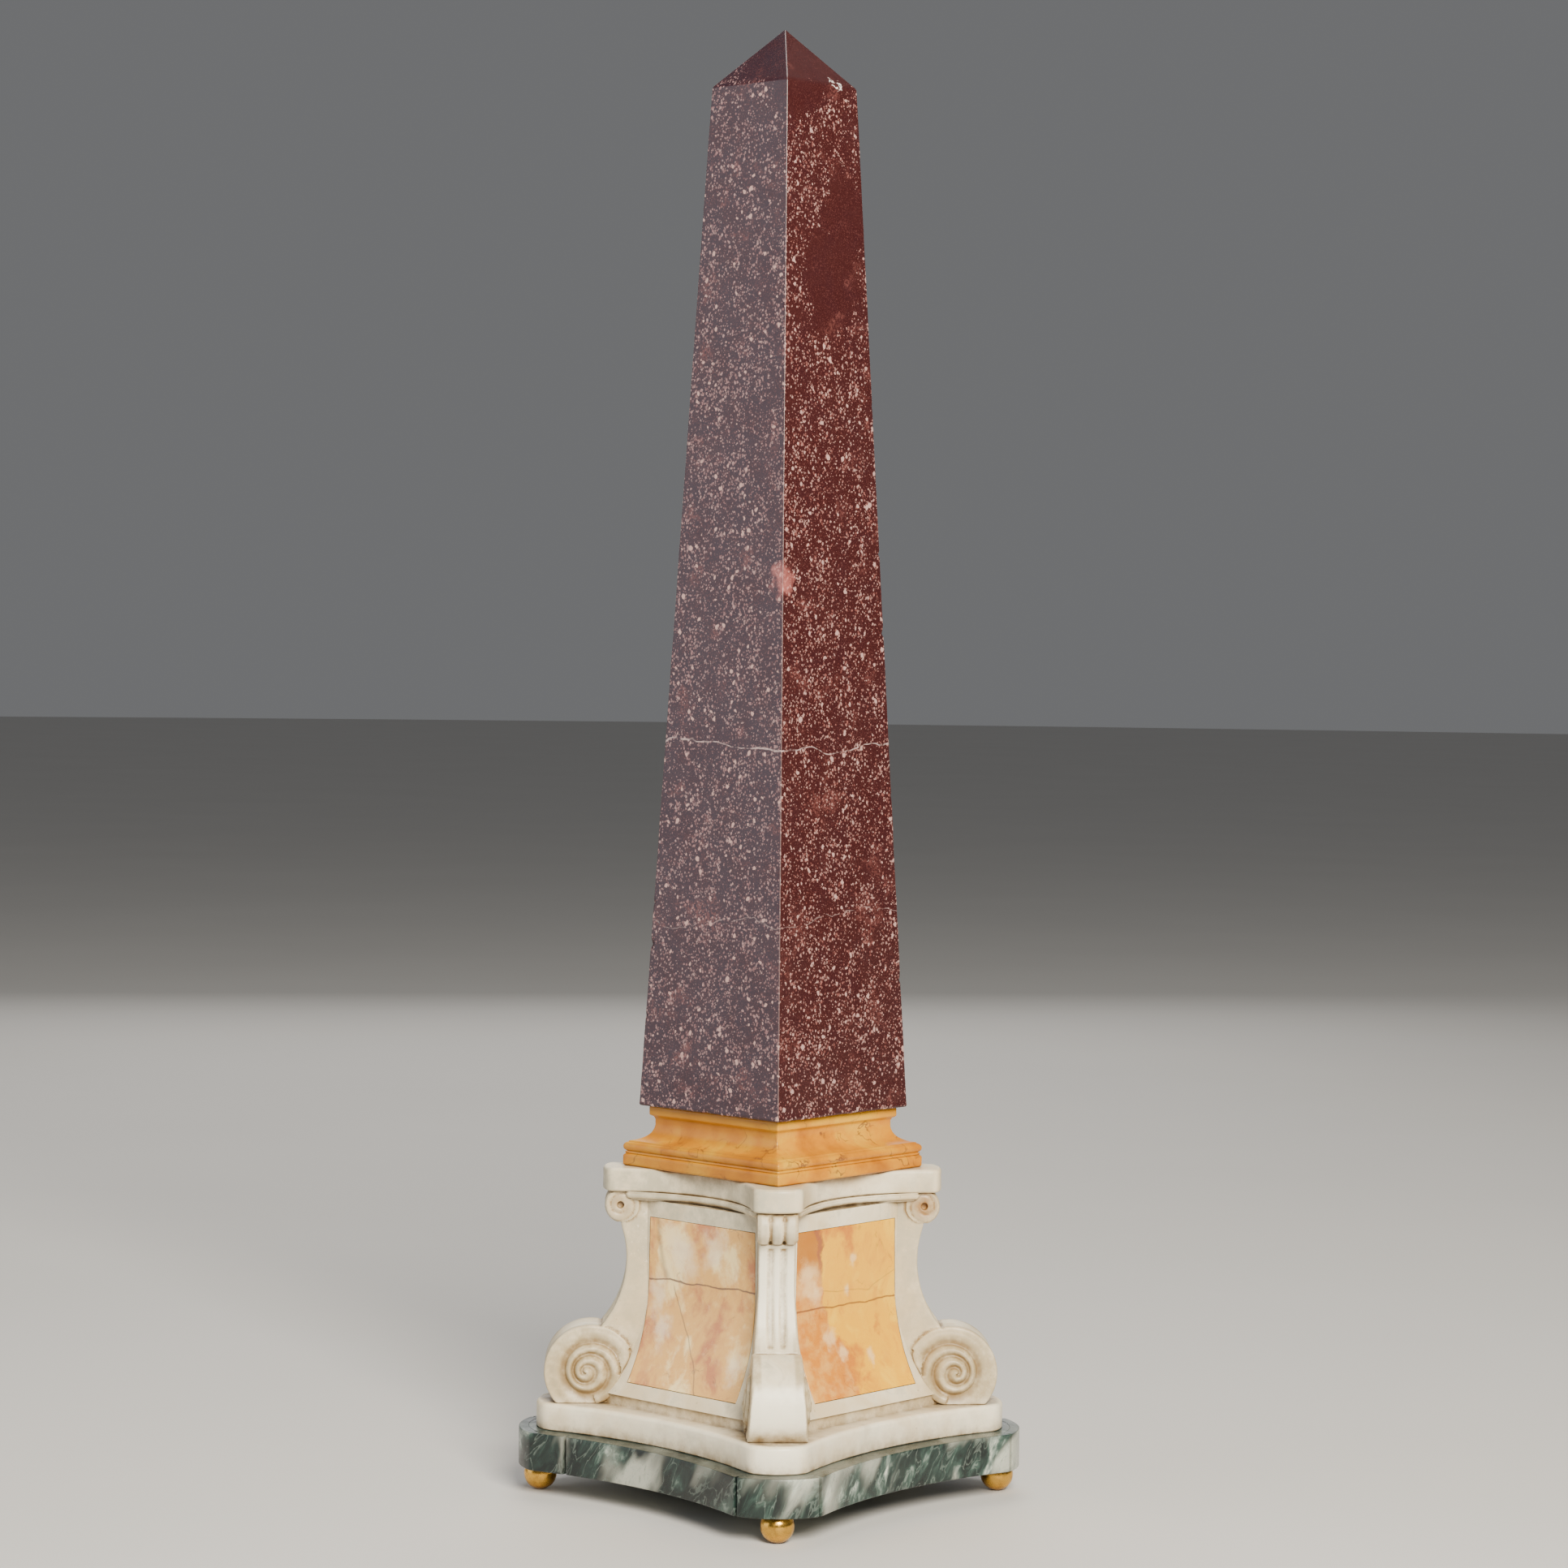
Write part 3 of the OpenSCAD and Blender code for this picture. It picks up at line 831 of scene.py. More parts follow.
@dataclass(frozen=True)
class InlaidMarble:
    """Marble of an inlaid panel, with its clouds and its own few veins."""

    name: str
    axis: str
    body: Colour
    light: Colour
    dark: Colour
    vein: Colour
    cloud: Colour
    strokes: tuple[Stroke, ...] = ()
    zone: bool = False
    spots: tuple[tuple[float, float, float], ...] = ()
    zone_pale: Colour = (0.70, 0.34, 0.085)
    zone_top: Colour = (0.37, 0.115, 0.010)
    zone_rim: Colour = (0.27, 0.075, 0.045)
    joint: Colour = (0.10, 0.05, 0.03)
    polish: Polish = Polish(12, (0.22, 0.34), 0.45, (1.0, 3, 0.010), (16, 0.10))

    def shown(self, g: Graph, behind: bool) -> Socket:
        """Tells a panel from the one opposite.

        Args:
            g: The tree of the finish.
            behind: Whether it is the back or left panel that is meant.

        Returns:
            1 on the panel that is meant and 0 on the other.
        """
        if self.axis == "X":
            ahead = g.sum("LESS_THAN", g.axis("Y"), 0.0)
        else:
            ahead = g.sum("GREATER_THAN", g.axis("X"), 0.0)
        return g.sum("SUBTRACT", 1.0, ahead) if behind else ahead

    def across(self, g: Graph, a: float, b: float, shift: float) -> Socket:
        """Measures along a slanting line on the face.

        Args:
            g: The tree of the finish.
            a: Share of the place along the face.
            b: Share of the height.
            shift: What is added, in millimetres.

        Returns:
            The distance, in metres.
        """
        part = g.sum("MULTIPLY_ADD", g.axis("Z"), b, shift * MM)
        return g.sum("MULTIPLY_ADD", g.axis(self.axis), a, part)

    def stroke(self, g: Graph, s: Stroke) -> Socket:
        """Draws a vein.

        Args:
            g: The tree of the finish.
            s: The vein.

        Returns:
            Its strength on the vein and 0 off it.
        """
        run = np.array(s.end) - np.array(s.start)
        length = float(np.hypot(*run))
        u, v = run / length
        wave = g.times(g.sum("SUBTRACT", g.noise(13, 3), 0.5), 2 * s.waver * MM)
        off = g.sum("ADD", self.across(g, -v, u, v * s.start[0] - u * s.start[1]), wave)
        line = g.step(g.sum("ABSOLUTE", off), 0.0, s.width * MM, s.strength, 0.0)
        along = self.across(g, u, v, -u * s.start[0] - v * s.start[1])
        start = g.step(along, -0.002, 0.001)
        end = g.step(along, length * MM, (length + 3) * MM, 1, 0)
        return g.times(line, start, end, self.shown(g, s.behind))

    def spot(self, g: Graph, along: float, height: float, radius: float) -> Socket:
        """Draws a pale cloud.

        Args:
            g: The tree of the finish.
            along: Its place along the face, in millimetres.
            height: Its height, in millimetres.
            radius: Its radius, in millimetres.

        Returns:
            1 in the cloud and 0 off it.
        """
        place = (along, 0, height) if self.axis == "X" else (0, along, height)
        stretch = (1, 0, 0.7) if self.axis == "X" else (0, 1, 0.7)
        return g.patch(place, radius * 1.25, stretch, 0.5, 0.1)

    def banded(self, g: Graph, body: Socket) -> Socket:
        """Lays a redder zone over one end of the face, with a ragged border that leans out below.

        Args:
            g: The tree of the finish.
            body: The stone's colour.

        Returns:
            The new colour.
        """
        border = g.step(g.axis("Z"), 0.052, 0.090, 4.5 * MM, 13.5 * MM)
        border = g.sum("ADD", border, g.step(g.axis("Z"), 0.090, 0.118, 0.0, 2.5 * MM))
        ragged = g.times(g.sum("SUBTRACT", g.noise(8, 5, 0.6), 0.5), 0.012)
        edge = g.sum("ADD", g.sum("ADD", g.axis(self.axis), border), ragged)
        tint = g.lay(self.dark, self.zone_pale, g.step(g.noise(7, 4, 0.6), 0.35, 0.65))
        upper = g.step(g.axis("Z"), 0.094, 0.108)
        tint = g.lay(tint, self.zone_top, upper, 0.9)
        body = g.lay(body, tint, g.step(edge, -0.0012, 0.0006, 0.9, 0.0))
        rim = g.step(g.sum("ABSOLUTE", g.sum("ADD", edge, 0.0022)), 0.0008, 0.0024, 0.6, 0.0)
        return g.lay(body, self.zone_rim, rim, upper)

    def material(self) -> bpy.types.Material:
        """Builds the finish.

        Returns:
            The material.
        """
        g = Graph(self.name)
        at = g.warped(22, 9, g.moved((1, 1, 0.7), (25, 25, 0)))
        stops = ((0.37, self.dark), (0.47, self.body), (0.53, self.body), (0.62, self.light))
        body = g.shades(g.noise(19, 5, 0.6, at), stops)
        body = g.lay(body, self.light, g.step(g.noise(4, 4, 0.65), 0.5, 0.8, 0, 0.35))
        body = g.lay(body, self.dark, g.step(g.noise(9, 5, 0.6, at), 0.52, 0.68, 0, 0.35))
        if self.zone:
            body = self.banded(g, body)
        for along, height, radius in self.spots:
            body = g.lay(body, self.cloud, self.spot(g, along, height, radius), 0.62)
        fine = g.times(g.thread(15, 0.010, at, 5), g.step(g.noise(10, 2), 0.5, 0.65))
        body = g.lay(body, self.vein, fine, 0.4)
        for s in self.strokes:
            body = g.lay(body, self.vein, self.stroke(g, s))
        body = g.lay(body, self.joint, g.step(g.recess(1.6), 0.45, 0.9, 0, 0.8))
        return self.polish.finish(g, body)


@dataclass(frozen=True)
class GreenMarble:
    """Dark green serpentine with pale, slanting broken patches."""

    black: Colour = (0.006, 0.010, 0.009)
    dark: Colour = (0.015, 0.029, 0.024)
    green: Colour = (0.042, 0.075, 0.060)
    grey: Colour = (0.20, 0.245, 0.21)
    pale: Colour = (0.64, 0.65, 0.54)
    polish: Polish = Polish(8, (0.24, 0.40), 0.45, (1.0, 3, 0.015), (9, 0.10))

    def material(self) -> bpy.types.Material:
        """Builds the finish.

        Returns:
            The material.
        """
        g = Graph("green_marble")
        around = g.sum("ADD", g.axis("X"), g.axis("Y"))
        lean = g.tree.nodes.new("ShaderNodeCombineXYZ")
        g.put(lean.inputs[0], g.sum("MULTIPLY_ADD", g.axis("Z"), -0.6, around))
        g.put(lean.inputs[1], g.times(g.sum("SUBTRACT", g.axis("X"), g.axis("Y")), 0.45))
        g.put(lean.inputs[2], g.times(g.axis("Z"), 0.6))
        at = g.warped(14, 8, lean.outputs[0])
        stops = (
            (0.45, self.black), (0.53, self.dark), (0.58, self.green), (0.62, self.grey), (0.69, self.pale),
        )
        body = g.shades(g.noise(17, 5, 0.60, at), stops)
        broad = g.noise(46, 2, 0.5, at)
        body = g.lay(body, self.pale, g.step(broad, 0.52, 0.62, 0, 0.60))
        body = g.lay(body, self.black, g.step(broad, 0.47, 0.37, 0, 0.75))
        body = g.lay(body, self.green, g.step(g.noise(2.2, 4, 0.7, at), 0.52, 0.75, 0, 0.55))
        body = g.lay(body, self.grey, g.thread(10, 0.02, at, 4), 0.35)
        # Painted shade: black in the recesses.
        body = g.lay(body, self.black, g.step(g.recess(2.0), 0.4, 0.9, 0, 0.7))
        # Painted shade: the faces that look up are darker.
        body = g.lay(body, self.dark, g.step(g.facing("Z"), 0.6, 0.9, 0, 0.7))
        return self.polish.finish(g, body)


@dataclass(frozen=True)
class GiltBronze:
    """Old gilding, bright on the crown of the ball and browned near its seats."""

    gold: Colour = (0.72, 0.40, 0.070)
    worn: Colour = (0.36, 0.185, 0.040)

    def material(self) -> bpy.types.Material:
        """Builds the finish.

        Returns:
            The material.
        """
        g = Graph("gilt_bronze")
        body = g.lay(self.gold, self.worn, g.step(g.noise(3.2, 5, 0.65), 0.45, 0.75, 0, 0.7))
        body = g.lay(body, self.worn, g.step(g.recess(4), 0.35, 0.85, 0, 0.8))
        g.set("Base Color", body)
        g.set("Metallic", 1.0)
        g.set("Roughness", g.step(g.noise(2.4, 5, 0.65), 0.3, 0.75, 0.16, 0.38))
        g.set("Normal", g.bump(g.noise(1.6, 4), 0.03))
        return g.material


@dataclass(frozen=True)
class PaleFloor:
    """The plain floor under the object."""

    tone: Colour = (0.62, 0.60, 0.57)
    shade: float = 0.93

    def material(self) -> bpy.types.Material:
        """Builds the finish.

        Returns:
            The material.
        """
        g = Graph("pale_floor")
        g.set("Base Color", g.lay(self.tone, tuple(c * self.shade for c in self.tone), g.noise(260, 3)))
        g.set("Roughness", 0.75)
        return g.material


PEACH = InlaidMarble(
    name="peach_marble",
    axis="X",
    body=(0.68, 0.375, 0.105),
    light=(0.88, 0.66, 0.31),
    dark=(0.48, 0.185, 0.075),
    vein=(0.12, 0.070, 0.055),
    cloud=(0.82, 0.68, 0.48),
    strokes=(
        Stroke((-32, 92), (32, 93), 0.65, 2.2, 0.95),
        Stroke((-16, 90), (8, 48), 0.55, 2.0, 0.6),
        Stroke((-26, 118), (-21, 94), 2.4, 3.0, 0.42),
        Stroke((-32, 76), (10, 68), 0.5, 3.0, 0.6, True),
        Stroke((-8, 118), (20, 50), 0.5, 3.0, 0.5, True),
    ),
    spots=((-25, 86, 6.5), (-20.5, 70, 5.5), (-12, 104, 9.0), (8, 110, 7.0), (24, 62, 5.0)),
)
YELLOW = InlaidMarble(
    name="yellow_marble",
    axis="Y",
    body=(0.84, 0.405, 0.008),
    light=(0.90, 0.49, 0.022),
    dark=(0.58, 0.19, 0.018),
    vein=(0.17, 0.050, 0.018),
    cloud=(0.88, 0.62, 0.32),
    zone=True,
    strokes=(
        Stroke((-32, 85), (32, 85), 0.65, 1.6, 0.9),
        Stroke((-14, 92), (14, 90), 0.4, 1.6, 0.4),
        Stroke((14, 90), (29, 96), 0.4, 1.2, 0.45),
        Stroke((-32, 100), (32, 88), 0.5, 2.6, 0.6, True),
        Stroke((4, 118), (14, 50), 0.45, 2.6, 0.4, True),
    ),
    spots=(
        (-24, 97, 6.5), (-19, 91, 3.6), (4, 104, 2.2), (0, 91, 1.8),
        (10, 63, 2.6), (-12, 72, 4.0), (-6, 66, 3.0),
    ),
)


# ---------------------------------------------------------------- meshes


class Solid:
    """A mesh in the making: points in millimetres, and faces that point outwards."""

    def __init__(self) -> None:
        """Starts empty."""
        self.points: list[np.ndarray] = []
        self.faces: list[tuple[int, ...]] = []
        self.count = 0

    def add(self, points: np.ndarray, faces: Sequence[Sequence[int]]) -> None:
        """Adds points and faces.

        Args:
            points: The points.
            faces: The faces, whose numbers count from the first of these points.
        """
        start = self.count
        self.points.append(points.reshape(-1, 3))
        self.faces += [tuple(i + start for i in f) for f in faces]
        self.count += len(self.points[-1])

    def loft(self, rings: np.ndarray) -> None:
        """Adds a closed body through rings that run anticlockwise from above, lowest first.

        Args:
            rings: Points of each ring, as rings by points by 3.
        """
        levels, size = rings.shape[:2]
        faces: list[tuple[int, ...]] = []
        for k in range(levels - 1):
            a, b = k * size, (k + 1) * size
            faces += [(a + i, a + (i + 1) % size, b + (i + 1) % size, b + i) for i in range(size)]
        low, high = levels * size, levels * size + 1
        last = (levels - 1) * size
        faces += [(low, (i + 1) % size, i) for i in range(size)]
        faces += [(high, last + i, last + (i + 1) % size) for i in range(size)]
        middles = np.stack([rings[0].mean(axis=0), rings[-1].mean(axis=0)])
        self.add(np.concatenate([rings.reshape(-1, 3), middles]), faces)

    def sweep(self, sections: np.ndarray) -> None:
        """Adds a closed bar through sections, each anticlockwise as seen from the bar's start.

        Args:
            sections: Points of each section, as sections by points by 3.
        """
        steps, size = sections.shape[:2]
        faces: list[tuple[int, ...]] = []
        for k in range(steps - 1):
            a, b = k * size, (k + 1) * size
            faces += [(a + i, b + i, b + (i + 1) % size, a + (i + 1) % size) for i in range(size)]
        faces.append(tuple(range(size)))
        faces.append(tuple(reversed(range((steps - 1) * size, steps * size))))
        self.add(sections, faces)

    def piece(self, name: str, material: bpy.types.Material, slot: str, nodes: Sequence[str],
              stored: Optional[dict[str, np.ndarray]] = None) -> bpy.types.Object:
        """Makes the object, in metres, and ties it to the frame.

        Args:
            name: The object's name.
            material: Its finish.
            slot: The record's slot that the finish belongs to. Not used.
            nodes: Solids that it stands for.
            stored: Numbers to store on its points, by name.

        Returns:
            The new object.
        """
        mesh = bpy.data.meshes.new(name)
        mesh.from_pydata((np.concatenate(self.points) * MM).tolist(), [], self.faces)
        mesh.validate()
        mesh.shade_smooth()
        mesh.materials.append(material)
        store(mesh, stored or {})
        return fit(added(name, mesh), nodes)


def fit(piece: bpy.types.Object, nodes: Sequence[str]) -> bpy.types.Object:
    """Makes a piece ride on the frame and stand for its solids.

    Args:
        piece: The finished piece.
        nodes: Solids that it stands for.

    Returns:
        The same piece.
    """
    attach(piece, "root")
    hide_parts(*nodes)
    piece.data.calc_loop_triangles()
    log.info("%s: %d triangles", piece.name, len(piece.data.loop_triangles))
    return piece


def square_rings(half: np.ndarray, height: np.ndarray, corner: np.ndarray, per_side: int,
                 per_corner: int = 5) -> np.ndarray:
    """Square rings with rounded corners.

    Args:
        half: Half width of each ring.
        height: Height of each ring.
        corner: Corner radius of each ring.
        per_side: Points on a side.
        per_corner: Points on a corner.

    Returns:
        Rings by points by 3, anticlockwise from above, starting on the front side.
    """
    half, height, corner = (np.asarray(v, float)[:, None] for v in (half, height, corner))
    straight = half - corner
    t = np.linspace(-1, 1, per_side)[None, :]
    a = np.radians(np.linspace(-90, 0, per_corner + 2)[1:-1])[None, :]
    x = np.concatenate([t * straight, straight + corner * np.cos(a)], axis=1)
    y = np.concatenate([-half + 0 * t, -straight + corner * np.sin(a)], axis=1)
    quarter = np.stack([x, y, height + 0 * x], axis=-1)
    return np.concatenate([turned(quarter, turn) for turn in QUARTER_TURNS], axis=1)


@dataclass(frozen=True)
class HollowPlan:
    """Plan of a slab with four hollow sides and four bulging corners, in millimetres.

    Side is how far the middle of a side is from the axis, and reach how far the middle of a corner
    is. Corner is a corner's width, bulge how far its middle stands out, soft how much its ends are
    rounded, and step the distance between points.
    """

    side: float
    reach: float
    corner: float
    bulge: float
    soft: float = 0.8
    step: float = 0.8

    def outline(self) -> tuple[np.ndarray, np.ndarray]:
        """Finds the points round the plan.

        Returns:
            The points, anticlockwise from the middle of the front, and their outward normals.
        """
        chord = self.reach - self.bulge
        end_d = (chord + self.corner / 2) / math.sqrt(2)
        end_s = (chord - self.corner / 2) / math.sqrt(2)
        dip = end_d - self.side
        hollow = (end_s**2 + dip**2) / (2 * dip)
        side_count, corner_count = 161, 61
        s = np.linspace(-end_s, end_s, side_count)
        side = np.stack([s, np.sqrt(hollow**2 - s**2) - hollow - self.side], axis=-1)
        half = self.corner / 2
        radius = (half**2 + self.bulge**2) / (2 * self.bulge)
        spread = math.asin(half / radius)
        a = np.linspace(-spread, spread, corner_count)[1:-1]
        arc = np.stack([self.reach - radius + radius * np.cos(a), radius * np.sin(a)], axis=-1)
        quarter = np.concatenate([side, turned(arc, -45)])
        loop = np.concatenate([turned(quarter, turn) for turn in QUARTER_TURNS])
        loop = np.roll(loop, -(side_count // 2), axis=0)
        ring = np.concatenate([loop, loop[:1]])
        way = np.concatenate([[0], np.cumsum(np.hypot(*np.diff(ring, axis=0).T))])
        count = 4 * round(way[-1] / self.step / 4)
        at = np.linspace(0, way[-1], count, endpoint=False)
        even = np.stack([np.interp(at, way, ring[:, k]) for k in (0, 1)], axis=-1)
        rate = np.fft.fftfreq(count, way[-1] / count)[:, None]
        blur = np.exp(-2 * (math.pi * rate * self.soft) ** 2)
        even = np.real(np.fft.ifft(np.fft.fft(even, axis=0) * blur, axis=0))
        slope = np.roll(even, -1, axis=0) - np.roll(even, 1, axis=0)
        slope /= np.hypot(slope[:, 0], slope[:, 1])[:, None]
        return even, np.stack([slope[:, 1], -slope[:, 0]], axis=-1)


def edge_profile(low: float, high: float, low_round: float, high_round: float, back: float) -> np.ndarray:
    """Profile of a slab's edge, from its underside to its top.

    Args:
        low: Height of the underside.
        high: Height of the top.
        low_round: Radius of the lower edge.
        high_round: Radius of the upper edge.
        back: How far in the profile starts and ends, so that the flats stay flat.

    Returns:
        Inset and height of each point.
    """
    a = np.radians(np.linspace(0, 90, 7))
    lower = np.stack([low_round * (1 - np.sin(a)), low + low_round * (1 - np.cos(a))], axis=-1)
    upper = np.stack([high_round * (1 - np.cos(a)), high - high_round * (1 - np.sin(a))], axis=-1)
    rise = np.linspace(lower[-1, 1], upper[0, 1], 5)[1:-1]
    wall = np.stack([0 * rise, rise], axis=-1)
    return np.concatenate([[[back, low]], lower, wall, upper, [[back, high]]])


@dataclass
class Course:
    """A slab of the pedestal: a plan with hollow sides and an edge that is softened by hand."""

    name: str
    nodes: tuple[str, ...]
    plan: HollowPlan
    low_round: float
    high_round: float
    uneven: float = 0.10
    back: float = 3.0
    grain: Grain = field(default_factory=lambda: Grain(7))

    def build(self, material: bpy.types.Material, slot: str) -> None:
        """Builds the slab between the heights of its solid.

        Args:
            material: Its finish.
            slot: The record's slot that the finish belongs to.
        """
        low, high = (v.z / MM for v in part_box(self.nodes[0]))
        points, normals = self.plan.outline()
        rows = edge_profile(low, high, self.low_round, self.high_round, self.back)
        rings = raised(points[None] - normals[None] * rows[:, None, :1], rows[:, 1:])
        worn = self.grain.worn(rings, (9, self.uneven), (2.5, 0.5 * self.uneven))
        edge = smooth(self.back - rows[:, 0], 0.0, 2.6)[:, None]
        rings[..., :2] += normals[None] * (worn * edge)[..., None]
        body = Solid()
        body.loft(rings)
        body.piece(self.name, material, slot, self.nodes)


@dataclass
class Shaft:
    """The one-piece porphyry shaft and its point, in millimetres.

    Foot and top are widths, point is the height of the point, and row the distance between rings.
    """

    foot: float = 81.0
    top: float = 43.5
    point: float = 24.8
    arris: float = 0.45
    row: float = 1.6
    chips: int = 40
    chip_depth: float = 0.55
    seed: int = 11

    def levels(self, low: float, high: float) -> tuple[np.ndarray, np.ndarray]:
        """Finds the rings.

        Args:
            low: Height of the foot.
            high: Height of the tip.

        Returns:
            Their heights, and the half width at each.
        """
        shoulder = high - self.point
        lower = low + np.array([0.0, 0.08, 0.3, 0.7, 1.1])
        inner = np.array([0.9, 0.5, 0.2, 0.03, 0.0])
        body = np.arange(low + self.row, shoulder - 0.9, self.row)
        slope = (self.foot - self.top) / 2 / (shoulder - low)
        half_body = self.foot / 2 - (body - low) * slope
        top = np.linspace(shoulder + 0.5, high - 0.7, 22)
        half_top = self.top / 2 * (high - top) / self.point
        brow = np.array([shoulder - 0.7, shoulder - 0.25, shoulder + 0.1])
        half_brow = np.array([self.top / 2 + 0.02, self.top / 2 - 0.06, self.top / 2 - 0.25])
        z = np.concatenate([lower, body, brow, top, [high - 0.45]])
        half = np.concatenate([self.foot / 2 - inner, half_body, half_brow, half_top, [0.35]])
        return z, half

    def build(self, material: bpy.types.Material) -> None:
        """Builds the shaft, with small chips along its arrises and round its foot.

        Args:
            material: Its finish.
        """
        low, high = (v.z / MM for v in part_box("shaft"))
        z, half = self.levels(low, high)
        grain = Grain(self.seed)
        corner = np.minimum(self.arris, half * 0.4)
        rings = square_rings(half, z, corner, 40)
        away = away_from_axis(rings)
        rough = grain.worn(rings, (18, 0.10), (4, 0.05))
        rings[..., :2] += away * (rough * np.minimum(half / 20, 1)[:, None])[..., None]
        draw = np.random.default_rng(self.seed)
        for number in range(self.chips):
            on_foot = number % 3 == 0
            turn = (90 * draw.integers(4)) + 45
            height = low if on_foot else low + draw.random() * (high - low - self.point)
            reach = float(np.interp(height, z, half))
            along = reach * (1.6 * draw.random() - 0.8) if on_foot else reach
            middle = turned(np.array([[reach, along, height]]), turn - 45)[0]
            radius = 0.8 + 1.3 * draw.random() ** 2
            offset = rings - middle
            inside = np.maximum(radius - np.linalg.norm(offset, axis=-1), 0)
            rings[..., :2] -= away * (self.chip_depth * inside)[..., None]
        body = Solid()
        body.loft(rings)
        # Marks the arrises for the porphyry's painted highlight, partly also wear.
        across = np.sort(np.abs(rings[..., :2]), axis=-1)
        arris_highlight_and_wear = smooth((across[..., 0] / across[..., 1]).ravel(), 0.975, 0.995)
        end_points = [0.0, 0.0]
        stored = {"arris": np.append(arris_highlight_and_wear, end_points)}
        body.piece("porphyry_shaft", material, "porphyry", ["shaft"], stored)


@dataclass
class Socle:
    """The golden marble moulding under the shaft, and the band under that, in millimetres.

    Half, fillet and waist are half widths. Bead is the height of the rounded edge, and hollow_top
    how far above the foot the hollow over it ends.
    """

    half: float = 45.3
    fillet: float = 37.5
    waist: float = 35.7
    bead: float = 5.1
    hollow_top: float = 12.4
    fillet_h: float = 4.1

    def moulding_rows(self, low: float, high: float) -> np.ndarray:
        """Draws the moulding's profile.

        Args:
            low: Height of its underside.
            high: Height of its top.

        Returns:
            Half width and height of each point, from below.
        """
        fillet_z = high - self.fillet_h
        toe = np.array([[self.half - 3, low], [self.half - 0.75, low], [self.half - 0.6, low + 0.8]])
        a = np.radians(np.linspace(-70, 80, 12))
        nose_r = (self.bead - 1.1) / 2
        nose_x, nose_z = self.half - nose_r, low + 0.95 + nose_r
        nose = np.stack([nose_x + nose_r * np.cos(a), nose_z + nose_r * np.sin(a)], axis=-1)
        b = np.linspace(0, 1, 16)[:, None]
        start = np.array([self.half - 1.7, low + self.bead + 0.2])
        bend = np.array([self.waist + 0.5, low + self.bead + 1.4])
        end = np.array([self.waist, low + self.hollow_top])
        hollow = (1 - b) ** 2 * start + 2 * b * (1 - b) * bend + b**2 * end
        rise = np.array([
            [self.waist, fillet_z - 1.6], [self.waist + 0.5, fillet_z - 0.5], [self.fillet - 0.35, fillet_z],
        ])
        lip = np.array([
            [self.fillet - 0.05, fillet_z + 0.3], [self.fillet, fillet_z + 0.9], [self.fillet, high - 0.9],
            [self.fillet - 0.1, high - 0.3], [self.fillet - 0.45, high], [self.fillet - 4, high],
        ])
        return np.concatenate([toe, nose, hollow, rise, lip])

    def band_rows(self, low: float, high: float) -> np.ndarray:
        """Draws the band's profile.

        Args:
            low: Height of its underside.
            high: Height of its top.

        Returns:
            Half width and height of each point, from below.
        """
        rows = edge_profile(low, high, 1.0, 1.2, 3.0)
        return np.stack([self.half - rows[:, 0], rows[:, 1]], axis=-1)

    def build(self, material: bpy.types.Material) -> None:
        """Builds both pieces.

        Args:
            material: Their finish.
        """
        grain = Grain(23)
        for name, node, rows_of in (
            ("socle_moulding_cut", "socle_moulding", self.moulding_rows),
            ("socle_band_cut", "socle_band", self.band_rows),
        ):
            low, high = (v.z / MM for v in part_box(node))
            rows = rows_of(low, high)
            rings = square_rings(rows[:, 0], rows[:, 1], np.full(len(rows), 0.6), 48, 6)
            worn = grain.worn(rings, (8, 0.10), (2.2, 0.06))
            rings[..., :2] += away_from_axis(rings) * worn[..., None]
            body = Solid()
            body.loft(rings)
            body.piece(name, material, "golden_marble", [node])


